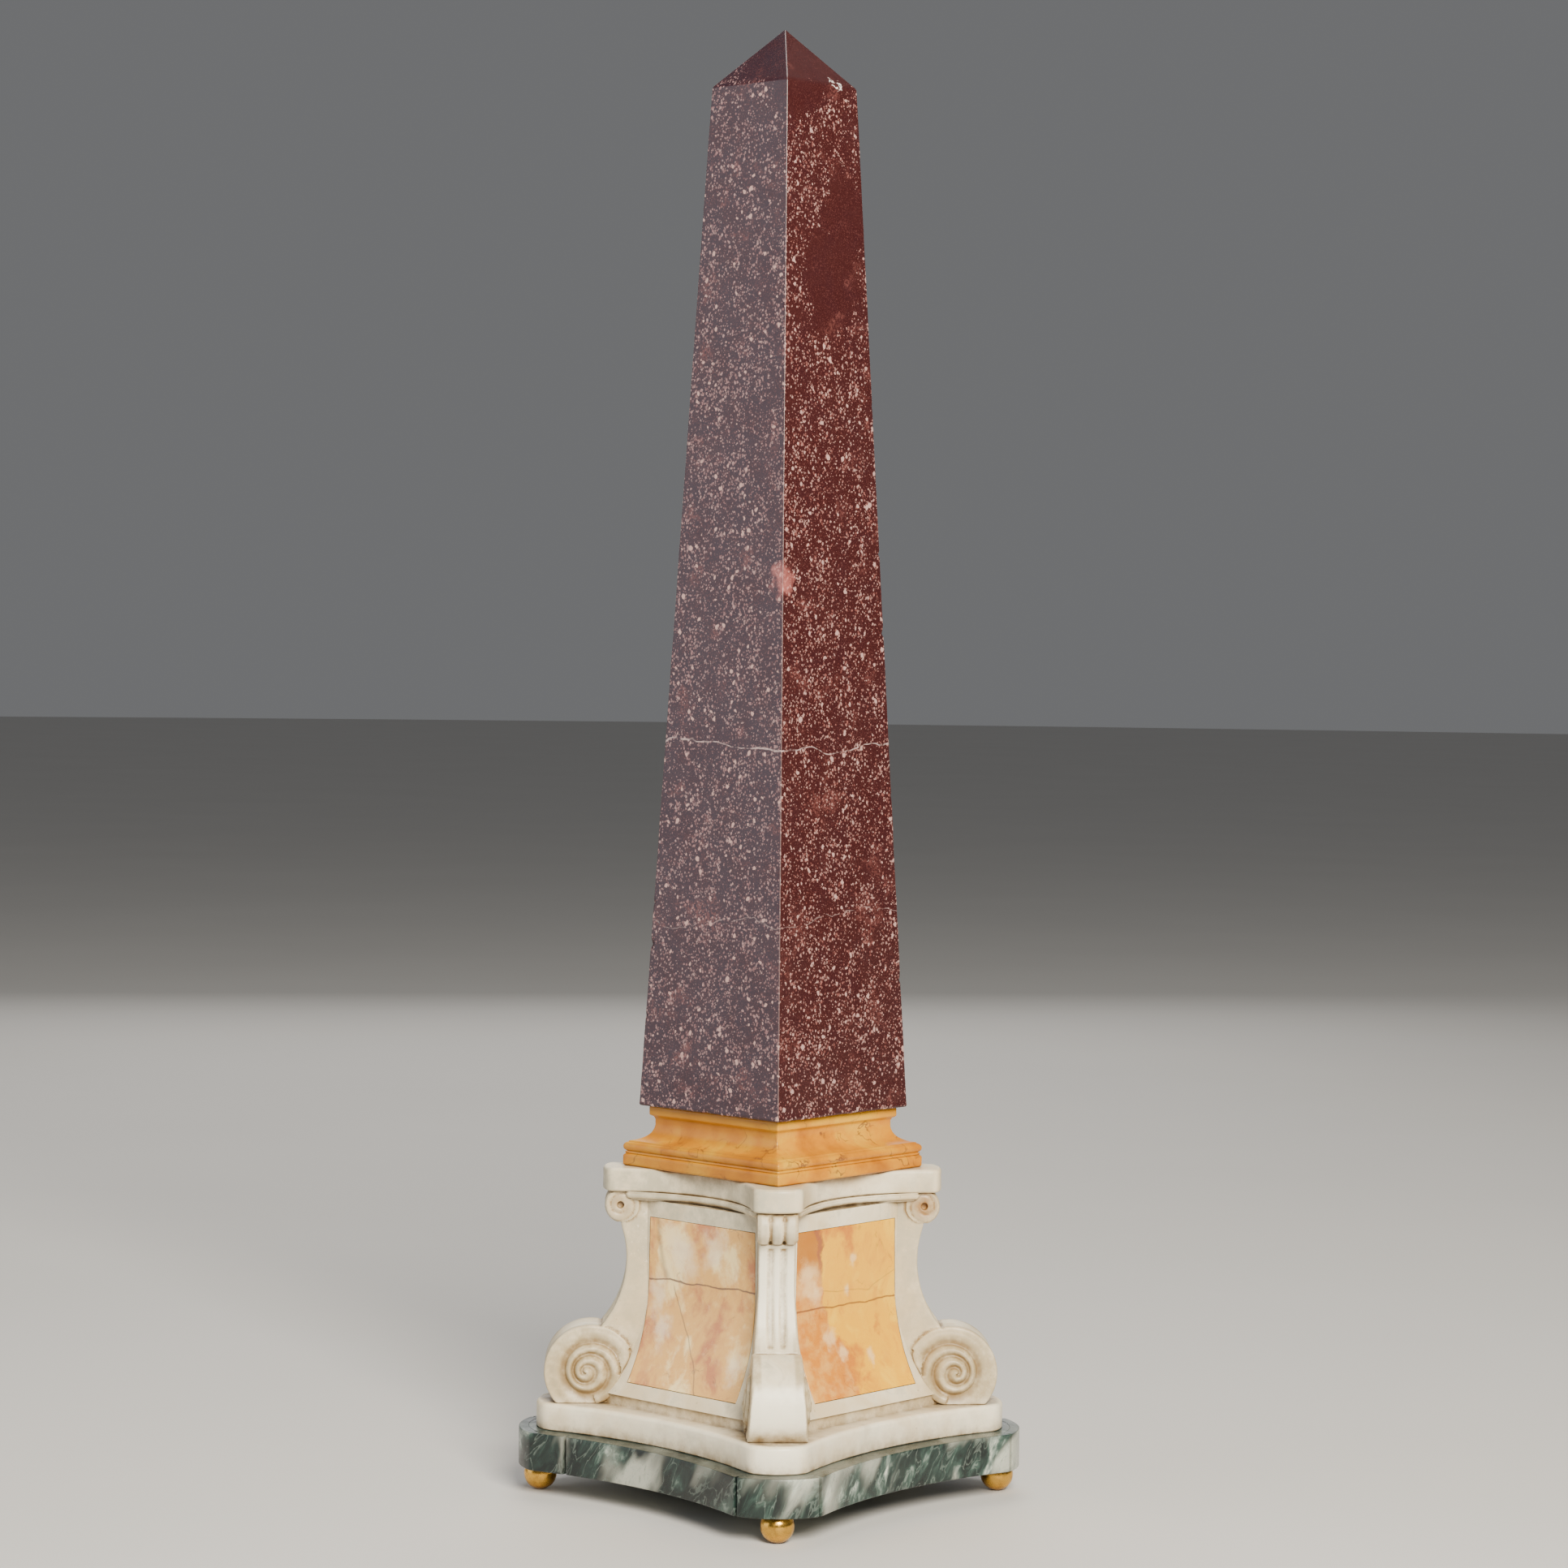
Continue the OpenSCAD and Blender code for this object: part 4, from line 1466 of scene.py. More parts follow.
@dataclass
class Body:
    """The pedestal's body with its swept faces, and the four panels let into them, in millimetres.

    Half is the half width of the upright part, kick how far a face sweeps out below bend, and band
    the height of the plain foot. The panel sizes are half widths and distances from foot and top.
    Neck, spread and flare give a console's half thickness, and seat is how far out it starts.
    """

    half: float = 43.0
    kick: float = 15.6
    bend: float = 52.2
    band: float = 4.4
    lip: float = 1.2
    panel_top: float = 30.4
    panel_foot: float = 31.5
    panel_low: float = 10.0
    panel_high: float = 7.2
    joint: float = 0.22
    recess: float = 1.6
    neck: float = 7.7
    spread: float = 3.8
    flare: float = 55.8
    seat: float = 51.1
    slot_gap: float = 0.12
    crisp: float = 38.0

    def __post_init__(self) -> None:
        """Reads the heights of the body from its solid."""
        self.low, self.high = (v.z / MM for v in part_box("die_core"))
        self.lip_z = self.low + self.band
        self.bend_z = self.low + self.bend
        drop = self.bend_z - self.lip_z
        self.sweep_r = (drop**2 + self.kick**2) / (2 * self.kick)
        self.panel_z = (self.low + self.panel_low, self.high - self.panel_high)

    def face(self, z: np.ndarray) -> np.ndarray:
        """Finds how far a face is from the axis.

        Args:
            z: Heights.

        Returns:
            The distance at each height.
        """
        drop = np.clip(self.bend_z - z, 0, self.bend_z - self.lip_z)
        out = self.half + self.sweep_r - np.sqrt(self.sweep_r**2 - drop**2)
        under = smooth(self.lip_z + 0.25 - z, 0.0, 0.3)
        return out - self.lip * under

    def console_half(self, z: np.ndarray) -> np.ndarray:
        """Finds half the thickness of a console.

        Args:
            z: Heights.

        Returns:
            It at each height.
        """
        share = np.clip((self.low + self.flare - z) / self.flare, 0, 1)
        return self.neck + self.spread * share

    def panel_half(self, z: np.ndarray) -> np.ndarray:
        """Finds the half width of a panel.

        Args:
            z: Heights.

        Returns:
            It at each height.
        """
        return np.interp(z, self.panel_z, (self.panel_foot, self.panel_top))

    def rows(self) -> np.ndarray:
        """Places the rows of the body's mesh.

        Returns:
            Their heights.
        """
        low, high = self.panel_z[0] - self.joint, self.panel_z[1] + self.joint
        foot = self.lip_z + np.array([-0.12, 0.0, 0.12, 0.25, 0.5, 1.0])
        return np.concatenate([
            [self.low, self.low + 2.0], foot,
            np.linspace(self.lip_z + 1.6, low - 0.35, 5), [low - 0.08, low, low + 0.02, low + 0.4],
            np.linspace(low + 1.4, high - 1.4, 46), [high - 0.4, high - 0.02, high, high + 0.08, high + 0.35],
            np.linspace(high + 1.2, self.high, 6),
        ])

    def build_body(self, material: bpy.types.Material) -> None:
        """Builds the body: a ring at each row, with a slot at each corner and a recess in each face.

        Args:
            material: Its finish.
        """
        z = self.rows()
        low, high = self.panel_z[0] - self.joint, self.panel_z[1] + self.joint
        face = self.face(z)[:, None]
        wide = self.console_half(z)[:, None] + self.slot_gap
        edge = face - wide * math.sqrt(2)
        panel = self.panel_half(z)[:, None] + self.joint
        outer = np.linspace(0, 1, 6)[None, :]
        inner = np.concatenate([[0.0, 0.0007, 0.012], np.linspace(0.04, 0.96, 17), [0.988, 0.9993, 1.0]])
        left = -edge + (edge - panel) * outer[:, :-1]
        middle = -panel + 2 * panel * inner[None, :]
        right = panel + (edge - panel) * outer[:, 1:]
        across = np.concatenate([left, middle, right], axis=1)
        sunk = np.zeros_like(across)
        inside = (z > low + 0.01) & (z < high - 0.01)
        first = outer.shape[1]
        sunk[np.ix_(inside, range(first, first + len(inner) - 2))] = self.recess
        sink = face - sunk
        slot_s = (self.seat - wide) / math.sqrt(2)
        slot_d = (self.seat + wide) / math.sqrt(2)
        x = np.concatenate([-slot_s, across, slot_s], axis=1)
        y = -np.concatenate([slot_d, sink, slot_d], axis=1)
        quarter = np.stack([x, y, z[:, None] + 0 * x], axis=-1)
        grain = Grain(31)
        quarter[..., 1] += 0.06 * (1 + grain.at(quarter, 10)) + 0.03 * (1 + grain.at(quarter, 3))
        rings = np.concatenate([turned(quarter, side.value) for side in Side], axis=1)
        body = Solid()
        body.loft(rings)
        piece = body.piece("pedestal_body", material, "white_marble", ["die_core"])
        sharpen(piece, self.crisp)

    def build_panel(self, side: Side, name: str, material: bpy.types.Material, slot: str) -> None:
        """Builds one panel: a slightly rounded plate that follows the swept face.

        Args:
            side: The face that it is let into.
            name: Its name.
            material: Its finish.
            slot: The record's slot that the finish belongs to.
        """
        soft = 0.22
        inset = np.array([0.0, 0.0, 0.04, 0.11, soft, 0.6, 1.5])
        depth = np.array([self.recess - 0.1, soft, 0.12, 0.05, 0.012, 0.0, 0.0])
        inner = 2.6
        rows_in, cols_in = 42, 31
        low, high = self.panel_z
        plain = np.linspace(low + inner, high - inner, rows_in)
        up = np.concatenate([low + inset, plain, high - inset[::-1]])
        half = self.panel_half(up)[:, None]
        share = np.linspace(-1, 1, cols_in)[None, :]
        across = np.concatenate([-half + inset, (half - inner) * share, half - inset[::-1]], axis=1)
        sink_up, sink_side = (np.concatenate([depth, np.zeros(n), depth[::-1]]) for n in (rows_in, cols_in))
        sink = np.maximum(sink_up[:, None], sink_side[None, :])
        face = self.face(up)[:, None] - sink - 0.03
        front = np.stack([across, -face, up[:, None] + 0 * across], axis=-1)
        back = front.copy()
        back[..., 1] = -(self.face(up)[:, None] - self.recess + 0.02)
        rows, cols = front.shape[:2]
        behind = rows * cols
        faces: list[tuple[int, ...]] = []
        for k in range(rows - 1):
            for a in range(k * cols, (k + 1) * cols - 1):
                face_loop = (a, a + 1, a + cols + 1, a + cols)
                faces.append(face_loop)
                faces.append(tuple(behind + j for j in reversed(face_loop)))
        grid = np.arange(rows * cols).reshape(rows, cols)
        rim = np.concatenate([grid[0], grid[1:, -1], grid[-1, -2::-1], grid[-2:0:-1, 0]]).tolist()
        for a, b in zip(rim, rim[1:] + rim[:1]):
            faces.append((b, a, behind + a, behind + b))
        body = Solid()
        both = np.concatenate([front.reshape(-1, 3), back.reshape(-1, 3)])
        body.add(turned(both, side.value), faces)
        body.piece(name, material, slot, [f"panel_{side.name.lower()}"])


def sharpen(piece: bpy.types.Object, degrees: float) -> None:
    """Keeps edges crisp where faces meet at more than some angle, and smooth elsewhere.

    Args:
        piece: The piece.
        degrees: The angle.
    """
    piece.data.set_sharp_from_angle(angle=math.radians(degrees))


def bed_moulding(material: bpy.types.Material) -> None:
    """Builds the moulding under the cap slab: a quirk and a quarter round between the consoles.

    Args:
        material: Its finish.
    """
    low, high = (v.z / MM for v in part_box("bed_moulding"))
    console_edge, crisp = 8.42, 40
    plan = HollowPlan(41.0, 64.3, 21.0, 2.6, 0.6, 0.6)
    points, normals = plan.outline()
    clear = np.abs(np.abs(points[:, 0]) - np.abs(points[:, 1])) / math.sqrt(2) > console_edge
    a = np.radians(np.linspace(0, 90, 9))
    rise = high - low
    round_in = 1.9 * (1 - np.sin(a))
    round_z = low + 0.75 + (rise - 1.75) * (1 - np.cos(a))
    section = np.concatenate([
        [[9.0, low], [2.5, low], [2.35, low + 0.12], [2.3, low + 0.6]],
        np.stack([round_in, round_z], axis=-1),
        [[0.0, high - 0.75], [0.35, high - 0.6], [0.4, high], [9.0, high]],
    ])
    body = Solid()
    starts = [i for i in range(len(points)) if clear[i] and not clear[i - 1]]
    for start in starts:
        run = start + np.arange(len(points))
        stop = int(np.argmin(clear[run % len(points)]))
        use = run[:stop] % len(points)
        body.sweep(raised(points[use][:, None] - normals[use][:, None] * section[:, :1], section[:, 1]))
    piece = body.piece("bed_moulding_cut", material, "white_marble", ["bed_moulding"])
    sharpen(piece, crisp)


@dataclass
class Plinth:
    """The green marble plinth: a core with strips of veneer round it, in millimetres."""

    plan: HollowPlan = HollowPlan(75.5, 107.01, 35.2, 5.0, 0.25, 0.6)
    thick: float = 4.2
    soft: float = 0.45
    lap: float = 0.05
    crisp: float = 50.0

    def strip(self, node: str, name: str, material: bpy.types.Material) -> None:
        """Builds one strip between the ends of its solid, which are read from the solid's box.

        Args:
            node: The solid's name.
            name: The strip's name.
            material: Its finish.
        """
        low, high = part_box(node)
        z0, z1 = low.z / MM, high.z / MM
        points, normals = self.plan.outline()
        margin = 0.06
        ends = np.array([low, high])[:, :2] / MM + margin * np.array([[1], [-1]])
        inside = np.all((points > ends[0]) & (points < ends[1]), axis=1)
        start = next(i for i in range(len(points)) if inside[i] and not inside[i - 1])
        run = (start + np.arange(int(inside.sum()))) % len(points)
        path, out = points[run], normals[run]
        r = self.soft
        a = np.radians(np.linspace(0, 90, 5))
        lower = np.stack([r * (1 - np.sin(a)), z0 + r * (1 - np.cos(a))], axis=-1)
        upper = np.stack([r * (1 - np.cos(a)), z1 - r * (1 - np.sin(a))], axis=-1)
        mids = np.stack([np.zeros(3), np.linspace(z0 + 3, z1 - 3, 3)], axis=-1)
        inner = self.thick - self.lap
        section = np.concatenate([[[inner, z0]], lower, mids, upper, [[inner, z1]]])
        shown = section[:, :1] < 3
        depth = np.zeros(len(path))
        depth[[0, -1]] = 0.22
        depth[[1, -2]] = 0.03
        inset = section[:, :1] + depth[:, None, None] * shown
        rings = raised(path[:, None] - out[:, None] * inset, section[:, 1])
        worn = 0.05 * (Grain(41).at(rings, 8) - 1)
        rings[..., :2] += out[:, None] * worn[..., None] * shown
        body = Solid()
        body.sweep(rings)
        piece = body.piece(name, material, "green_marble", [node])
        sharpen(piece, self.crisp)

    def build(self, material: bpy.types.Material) -> None:
        """Builds the core and its eight strips.

        Args:
            material: Their finish.
        """
        inner = HollowPlan(self.plan.side - self.thick, self.plan.reach - self.thick,
                           self.plan.corner - self.thick, self.plan.bulge, 0.2)
        Course("plinth_bed", ("plinth_core",), inner, 0.2, 0.2, 0.0).build(material, "green_marble")
        for kind, places in (("plinth", Side), ("corner", Corner)):
            for place in places:
                part = place.name.lower()
                self.strip(f"{kind}_{part}", f"{kind}_strip_{part}", material)


# ---------------------------------------------------------------- carved consoles


def surface_of(values: np.ndarray, low: np.ndarray, step: float) -> tuple[np.ndarray, np.ndarray]:
    """Finds the surface where values on a grid change sign.

    Args:
        values: Numbers on the grid, negative inside the body.
        low: Place of the first grid point.
        step: Distance between grid points.

    Returns:
        The surface's points, and its four-sided faces that point outwards.
    """
    inside = values < 0
    size = np.array(values.shape)
    corners = list(np.ndindex(2, 2, 2))
    blocks = [tuple(slice(c, n - 1 + c) for c, n in zip(corner, size)) for corner in corners]
    count = sum(inside[block].astype(int) for block in blocks)
    cells = np.argwhere((count > 0) & (count < 8))
    total = np.zeros((len(cells), 3))
    hits = np.zeros(len(cells))
    for a in corners:
        for axis in range(3):
            if a[axis]:
                continue
            b = tuple(v + (k == axis) for k, v in enumerate(a))
            va = values[tuple((cells + np.array(a)).T)]
            vb = values[tuple((cells + np.array(b)).T)]
            cross = (va < 0) != (vb < 0)
            share = np.where(cross, va / np.where(cross, va - vb, 1.0), 0.0)
            point = np.array(a) + share[:, None] * (np.array(b) - np.array(a))
            total += point * cross[:, None]
            hits += cross
    points = low + step * (cells + total / hits[:, None])
    number = np.full(tuple(size - 1), -1)
    number[tuple(cells.T)] = np.arange(len(cells))
    quads = []
    for axis in range(3):
        u, v = np.eye(3, dtype=int)[(axis + 1) % 3], np.eye(3, dtype=int)[(axis + 2) % 3]
        first = inside[tuple(slice(0, -1) if k == axis else slice(None) for k in range(3))]
        second = inside[tuple(slice(1, None) if k == axis else slice(None) for k in range(3))]
        for cross, flip in ((first & ~second, False), (~first & second, True)):
            edge = np.argwhere(cross)
            keep = np.all((edge >= u + v) & (edge < size - 1), axis=1)
            edge = edge[keep]
            around = [number[tuple((edge - shift).T)] for shift in (u + v, v, 0 * u, u)]
            quads.append(np.stack(around[::-1] if flip else around, axis=-1))
    return points, np.concatenate(quads)


def blurred(values: np.ndarray, reach: int) -> np.ndarray:
    """Blurs numbers on a grid.

    Args:
        values: The numbers.
        reach: How many points it looks each way.

    Returns:
        Their means over a box that is 2 * reach + 1 points wide.
    """
    for axis in range(3):
        pad = [(reach + 1, reach) if k == axis else (0, 0) for k in range(3)]
        run = np.cumsum(np.pad(values, pad, mode="edge"), axis=axis)
        width = 2 * reach + 1
        ahead = tuple(slice(width, None) if k == axis else slice(None) for k in range(3))
        behind = tuple(slice(0, -width) if k == axis else slice(None) for k in range(3))
        values = (run[ahead] - run[behind]) / width
    return values


def joined(a: np.ndarray, b: np.ndarray, soft: float) -> np.ndarray:
    """Joins two bodies.

    Args:
        a: Distance outside the first.
        b: Distance outside the second.
        soft: How far their meeting is rounded.

    Returns:
        Distance outside both together.
    """
    h = np.clip(0.5 + 0.5 * (b - a) / soft, 0, 1)
    return b + (a - b) * h - soft * h * (1 - h)


def common(a: np.ndarray, b: np.ndarray, soft: float) -> np.ndarray:
    """Keeps what two bodies share.

    Args:
        a: Distance outside the first.
        b: Distance outside the second.
        soft: How far their meeting is rounded.

    Returns:
        Distance outside what they share.
    """
    return -joined(-a, -b, soft)


@dataclass
class Spiral:
    """A carved groove that winds clockwise into an eye, as seen with the diagonal to the right."""

    eye: tuple[float, float]
    radius: float
    start: float
    pitch: float
    drift: float = 0.0

    def read(self, r: np.ndarray, z: np.ndarray) -> tuple[np.ndarray, np.ndarray, np.ndarray]:
        """Places points on the spiral.

        Args:
            r: Distance along the diagonal.
            z: Height.

        Returns:
            The turns since the groove's start, the distance from the eye as the coils lie, and
            how many coils a point is inside the groove's first one.
        """
        dr, dz = r - self.eye[0], z - self.eye[1]
        k = self.drift
        far = (k * dr + np.sqrt(k * k * dr**2 + (1 - k * k) * (dr**2 + dz**2))) / (1 - k * k)
        turns = np.mod(math.radians(self.start) - np.arctan2(dz, dr), 2 * math.pi) / (2 * math.pi)
        return turns, far, (self.radius - far) / self.pitch - turns


@dataclass
class Console:
    """A scroll console, carved from one piece, in millimetres.

    Its own X runs outwards along the diagonal. Each _at is a place along that and up, and step is
    the distance between the points of the grid that it is carved on.
    """

    pedestal: Body
    curl_at: tuple[float, float] = (63.61, 122.8)
    curl_r: float = 7.6
    curl_half: float = 8.3
    scroll_at: tuple[float, float] = (76.71, 52.3)
    scroll_r: float = 19.6
    neck_deep: float = 6.0
    half_box: float = 15.4
    flute_gap: float = 2.57
    flute_w: float = 1.45
    flute_d: float = 0.55
    lobe_gap: float = 2.85
    eye_hole: float = 1.45
    step: float = 0.42
    volute: Spiral = field(default_factory=lambda: Spiral((79.0, 52.4), 12.9, 185, 4.8, 0.2))
    curl: Spiral = field(default_factory=lambda: Spiral((64.5, 122.9), 6.1, 200, 3.6))

    def __post_init__(self) -> None:
        """Reads the top from a console's solid, and finds the circle of the hollow neck."""
        self.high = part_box("console_front_right")[1].z / MM
        top = np.array([self.curl_at[0] + 0.9, self.curl_at[1] - self.curl_r])
        a = math.radians(102.7)
        foot = np.array(self.scroll_at) + self.scroll_r * np.array([math.cos(a), math.sin(a)])
        run = top - foot
        length = float(np.hypot(*run))
        self.neck_r = (length**2 / 4 + self.neck_deep**2) / (2 * self.neck_deep)
        out = np.array([run[1], -run[0]]) / length
        self.neck_at = tuple((top + foot) / 2 + out * (self.neck_r - self.neck_deep))

    def outline(self, r: np.ndarray, z: np.ndarray) -> np.ndarray:
        """Draws the console as seen from the side.

        Args:
            r: Distance along the diagonal.
            z: Height.

        Returns:
            Distance outside its outline.
        """
        neck = self.neck_r - np.hypot(r - self.neck_at[0], z - self.neck_at[1])
        neck = np.maximum(neck, r - self.scroll_at[0])
        neck = np.where(z > self.curl_at[1], r - self.curl_at[0], neck)
        curl = np.hypot(r - self.curl_at[0], z - self.curl_at[1]) - self.curl_r
        scroll = np.hypot(r - self.scroll_at[0], z - self.scroll_at[1]) - self.scroll_r
        return joined(joined(neck, scroll, 0.25), curl, 0.25)

    def volute_relief(self, r: np.ndarray, z: np.ndarray) -> tuple[np.ndarray, np.ndarray]:
        """Carves the lower scroll's side.

        Args:
            r: Distance along the diagonal.
            z: Height.

        Returns:
            How far it stands out from the console's flat side, and how deep it lies between coils,
            from 0 to 1.
        """
        turns, far, inside = self.volute.read(r, z)
        to_rim = self.scroll_r - np.hypot(r - self.scroll_at[0], z - self.scroll_at[1])
        first = self.volute.radius - self.volute.pitch * turns
        opening = self.volute.radius + 4.7 * smooth(turns * 360, 0, 32)
        tail = self.volute.radius + self.volute.pitch * (1 - turns)
        bound = np.where(turns * 360 < 32, opening, np.where(turns > 0.82, tail, 99.0))
        margin = np.minimum(to_rim, bound - far)
        outer = np.clip(margin / np.maximum(margin + far - first, 0.1), 0, 1)
        part = inside - np.floor(inside)
        coil = (0.5 - 0.5 * np.cos(2 * math.pi * (part - 0.92))) ** 0.7
        crest = np.where(inside < 0, 1 - smooth(outer, 0.38, 0.98) * smooth(turns * 360, 4, 40), coil)
        rise = 3.0 * np.clip(1 - far / 17.5, 0, 1)
        height = rise + 1.9 * crest - 1.0
        near = smooth(margin, -0.5, 0.15)
        crease = -0.5 * np.exp(-((margin + 0.25) / 0.45) ** 2) * (bound < 90)
        return height * near + crease * (to_rim > 0.2), (1 - crest) * near

    def curl_relief(self, r: np.ndarray, z: np.ndarray) -> np.ndarray:
        """Carves the upper scroll's side.

        Args:
            r: Distance along the diagonal.
            z: Height.

        Returns:
            How far it stands out from the console's middle plane.
        """
        far = np.hypot(r - self.curl_at[0], z - self.curl_at[1])
        turns, _, inside = self.curl.read(r, z)
        part = inside - np.floor(inside)
        crest = np.where(part < 0.35, 1 - ((0.35 - part) / 0.35) ** 2, 1 - ((part - 0.35) / 0.65) ** 2)
        disc = smooth(self.curl_r + 0.3 - far, 0, 0.9)
        return disc * (self.curl_half + 0.55 * (crest - 0.75))

    def fronts(self, y: np.ndarray, z: np.ndarray) -> np.ndarray:
        """Carves the flutes down the neck and the grooves between the curl's lobes.

        Args:
            y: Distance from the middle plane.
            z: Height.

        Returns:
            Their depth.
        """
        low = self.scroll_at[1] + self.scroll_r - 0.2
        high = self.curl_at[1] - self.curl_r - 1.2
        span = smooth(z, low, low + 2.4) * smooth(high - z, -0.3, 1.0)
        flute = np.exp(-(((np.abs(y) - self.flute_gap) / self.flute_w) ** 4)) * self.flute_d * span
        lobe_span = smooth(z, high + 0.8, high + 2.0) * smooth(self.curl_at[1] + 5.5 - z, 0, 1.2)
        deeper = 1.0 + 0.9 * smooth(high + 5.5 - z, 0, 4)
        lobe = np.exp(-(((np.abs(y) - self.lobe_gap) / 0.85) ** 2)) * 1.0 * deeper * lobe_span
        return flute + lobe

    def distance(self, r: np.ndarray, y: np.ndarray, z: np.ndarray) -> np.ndarray:
        """Draws the whole console.

        Args:
            r: Distance along the diagonal.
            y: Distance from the middle plane.
            z: Height.

        Returns:
            Distance outside it, roughly.
        """
        side = self.outline(r, z) + self.fronts(y, z)
        flat = self.pedestal.console_half(z) + self.volute_relief(r, z)[0]
        half = np.maximum(flat, self.curl_relief(r, z))
        body = common(side, np.abs(y) - half, 1.1)
        hole = np.hypot(r - self.curl.eye[0], z - self.curl.eye[1])
        drill = np.maximum(hole - self.eye_hole, 5.6 - np.abs(y))
        body = common(body, -drill, 0.5)
        pit_z = self.curl_at[1] + 3.6
        pit_r = self.curl_at[0] + math.sqrt(self.curl_r**2 - 3.6**2)
        pit = np.sqrt((r - pit_r) ** 2 + (z - pit_z) ** 2 + (np.abs(y) - self.lobe_gap) ** 2) - 1.15
        body = common(body, -pit, 0.4)
        under = np.hypot(r - self.curl_at[0] - 1.3, z - (self.curl_at[1] - self.curl_r - 0.2)) - 0.75
        body = common(body, -under, 0.4)
        nick = np.hypot(r - (self.scroll_at[0] - 4.1), z - (self.scroll_at[1] + self.scroll_r - 0.1)) - 0.6
        body = common(body, -nick, 0.5)
        bounds = np.maximum(np.maximum(z - self.high + 0.02, self.pedestal.low - z), self.pedestal.seat - r)
        return common(body, bounds, 0.25)

    def master(self) -> tuple[np.ndarray, np.ndarray, np.ndarray]:
        """Carves the console.

        Returns:
            Its points, its faces, and how hollow the carving is at each point.
        """
        low = np.array([self.pedestal.seat - 1.0, -self.half_box, self.pedestal.low - 1.0])
        high = np.array([self.scroll_at[0] + self.scroll_r + 1.0, self.half_box, self.high + 1.0])
        counts = np.ceil((high - low) / self.step).astype(int) + 1
        r, y, z = (low[k] + self.step * np.arange(counts[k]) for k in range(3))
        r, y, z = r[:, None, None], y[None, :, None], z[None, None, :]
        values = self.distance(r, y, z)
        points, quads = surface_of(values, low, self.step)
        shallow = np.clip(values, -2.2, 2.2)
        bend = blurred(shallow, 3) - shallow
        at = np.clip(np.round((points - low) / self.step).astype(int), 0, counts - 1)
        # The white marble reads this for tan dirt with painted shade in the hollows and for painted
        # highlights on the ridges.
        hollow = -bend[tuple(at.T)]
        between = self.volute_relief(points[:, 0], points[:, 2])[1] * smooth(np.abs(points[:, 1]), 7.0, 8.0)
        hollow = np.maximum(hollow, 0.19 * smooth(between, 0.15, 0.9))
        points[:, 0] += 0.05 * Grain(53).at(points, 2.4)
        return points, quads, hollow

    def dirt_and_shade(self, points: np.ndarray) -> tuple[np.ndarray, np.ndarray]:
        """Places a console's stain, and the grime and painted shade on its sides.

        Args:
            points: The console's points.

        Returns:
            How stained each is round the curl's eye, and how much grime and painted shade it gets on the
            sides, from 0 to 1.
        """
        r, y, z = points.T
        from_curl = np.hypot(r - self.curl.eye[0], z - self.curl.eye[1])
        in_coils = smooth(np.hypot(r - self.volute.eye[0], z - self.volute.eye[1]), 21.0, 13.0)
        side = smooth(np.abs(y), 6.2, 7.4)
        # Grime and painted shade on the sides, strongest on the lower scroll's coils.
        return smooth(-from_curl, -8.5, -1.0), side * (0.45 + 0.30 * smooth(r, 52.0, 58.0) + 0.55 * in_coils)

    def build(self, material: bpy.types.Material) -> None:
        """Carves one console and sets a copy of it on each corner.

        Args:
            material: Its finish.
        """
        points, quads, hollow = self.master()
        stain, side_grime_and_shade = self.dirt_and_shade(points)
        tree = corner_tree()
        for corner in Corner:
            name = corner.name.lower()
            mesh = bpy.data.meshes.new(f"scroll_console_{name}")
            mesh.from_pydata((points * MM).tolist(), [], quads.tolist())
            mesh.shade_smooth()
            strength = 0.80 if corner is Corner.BACK_RIGHT else 0.40
            # Grime on the sides also stands for painted shade there.
            store(mesh, {"hollow": hollow, "stain": stain * strength, "side_grime_and_shade": side_grime_and_shade})
            piece = added(f"scroll_console_{name}", mesh)
            grown(piece, tree, {"Turn": math.radians(corner.value), "Finish": material})
            fit(piece, [f"console_{name}"])


# ---------------------------------------------------------------- geometry nodes


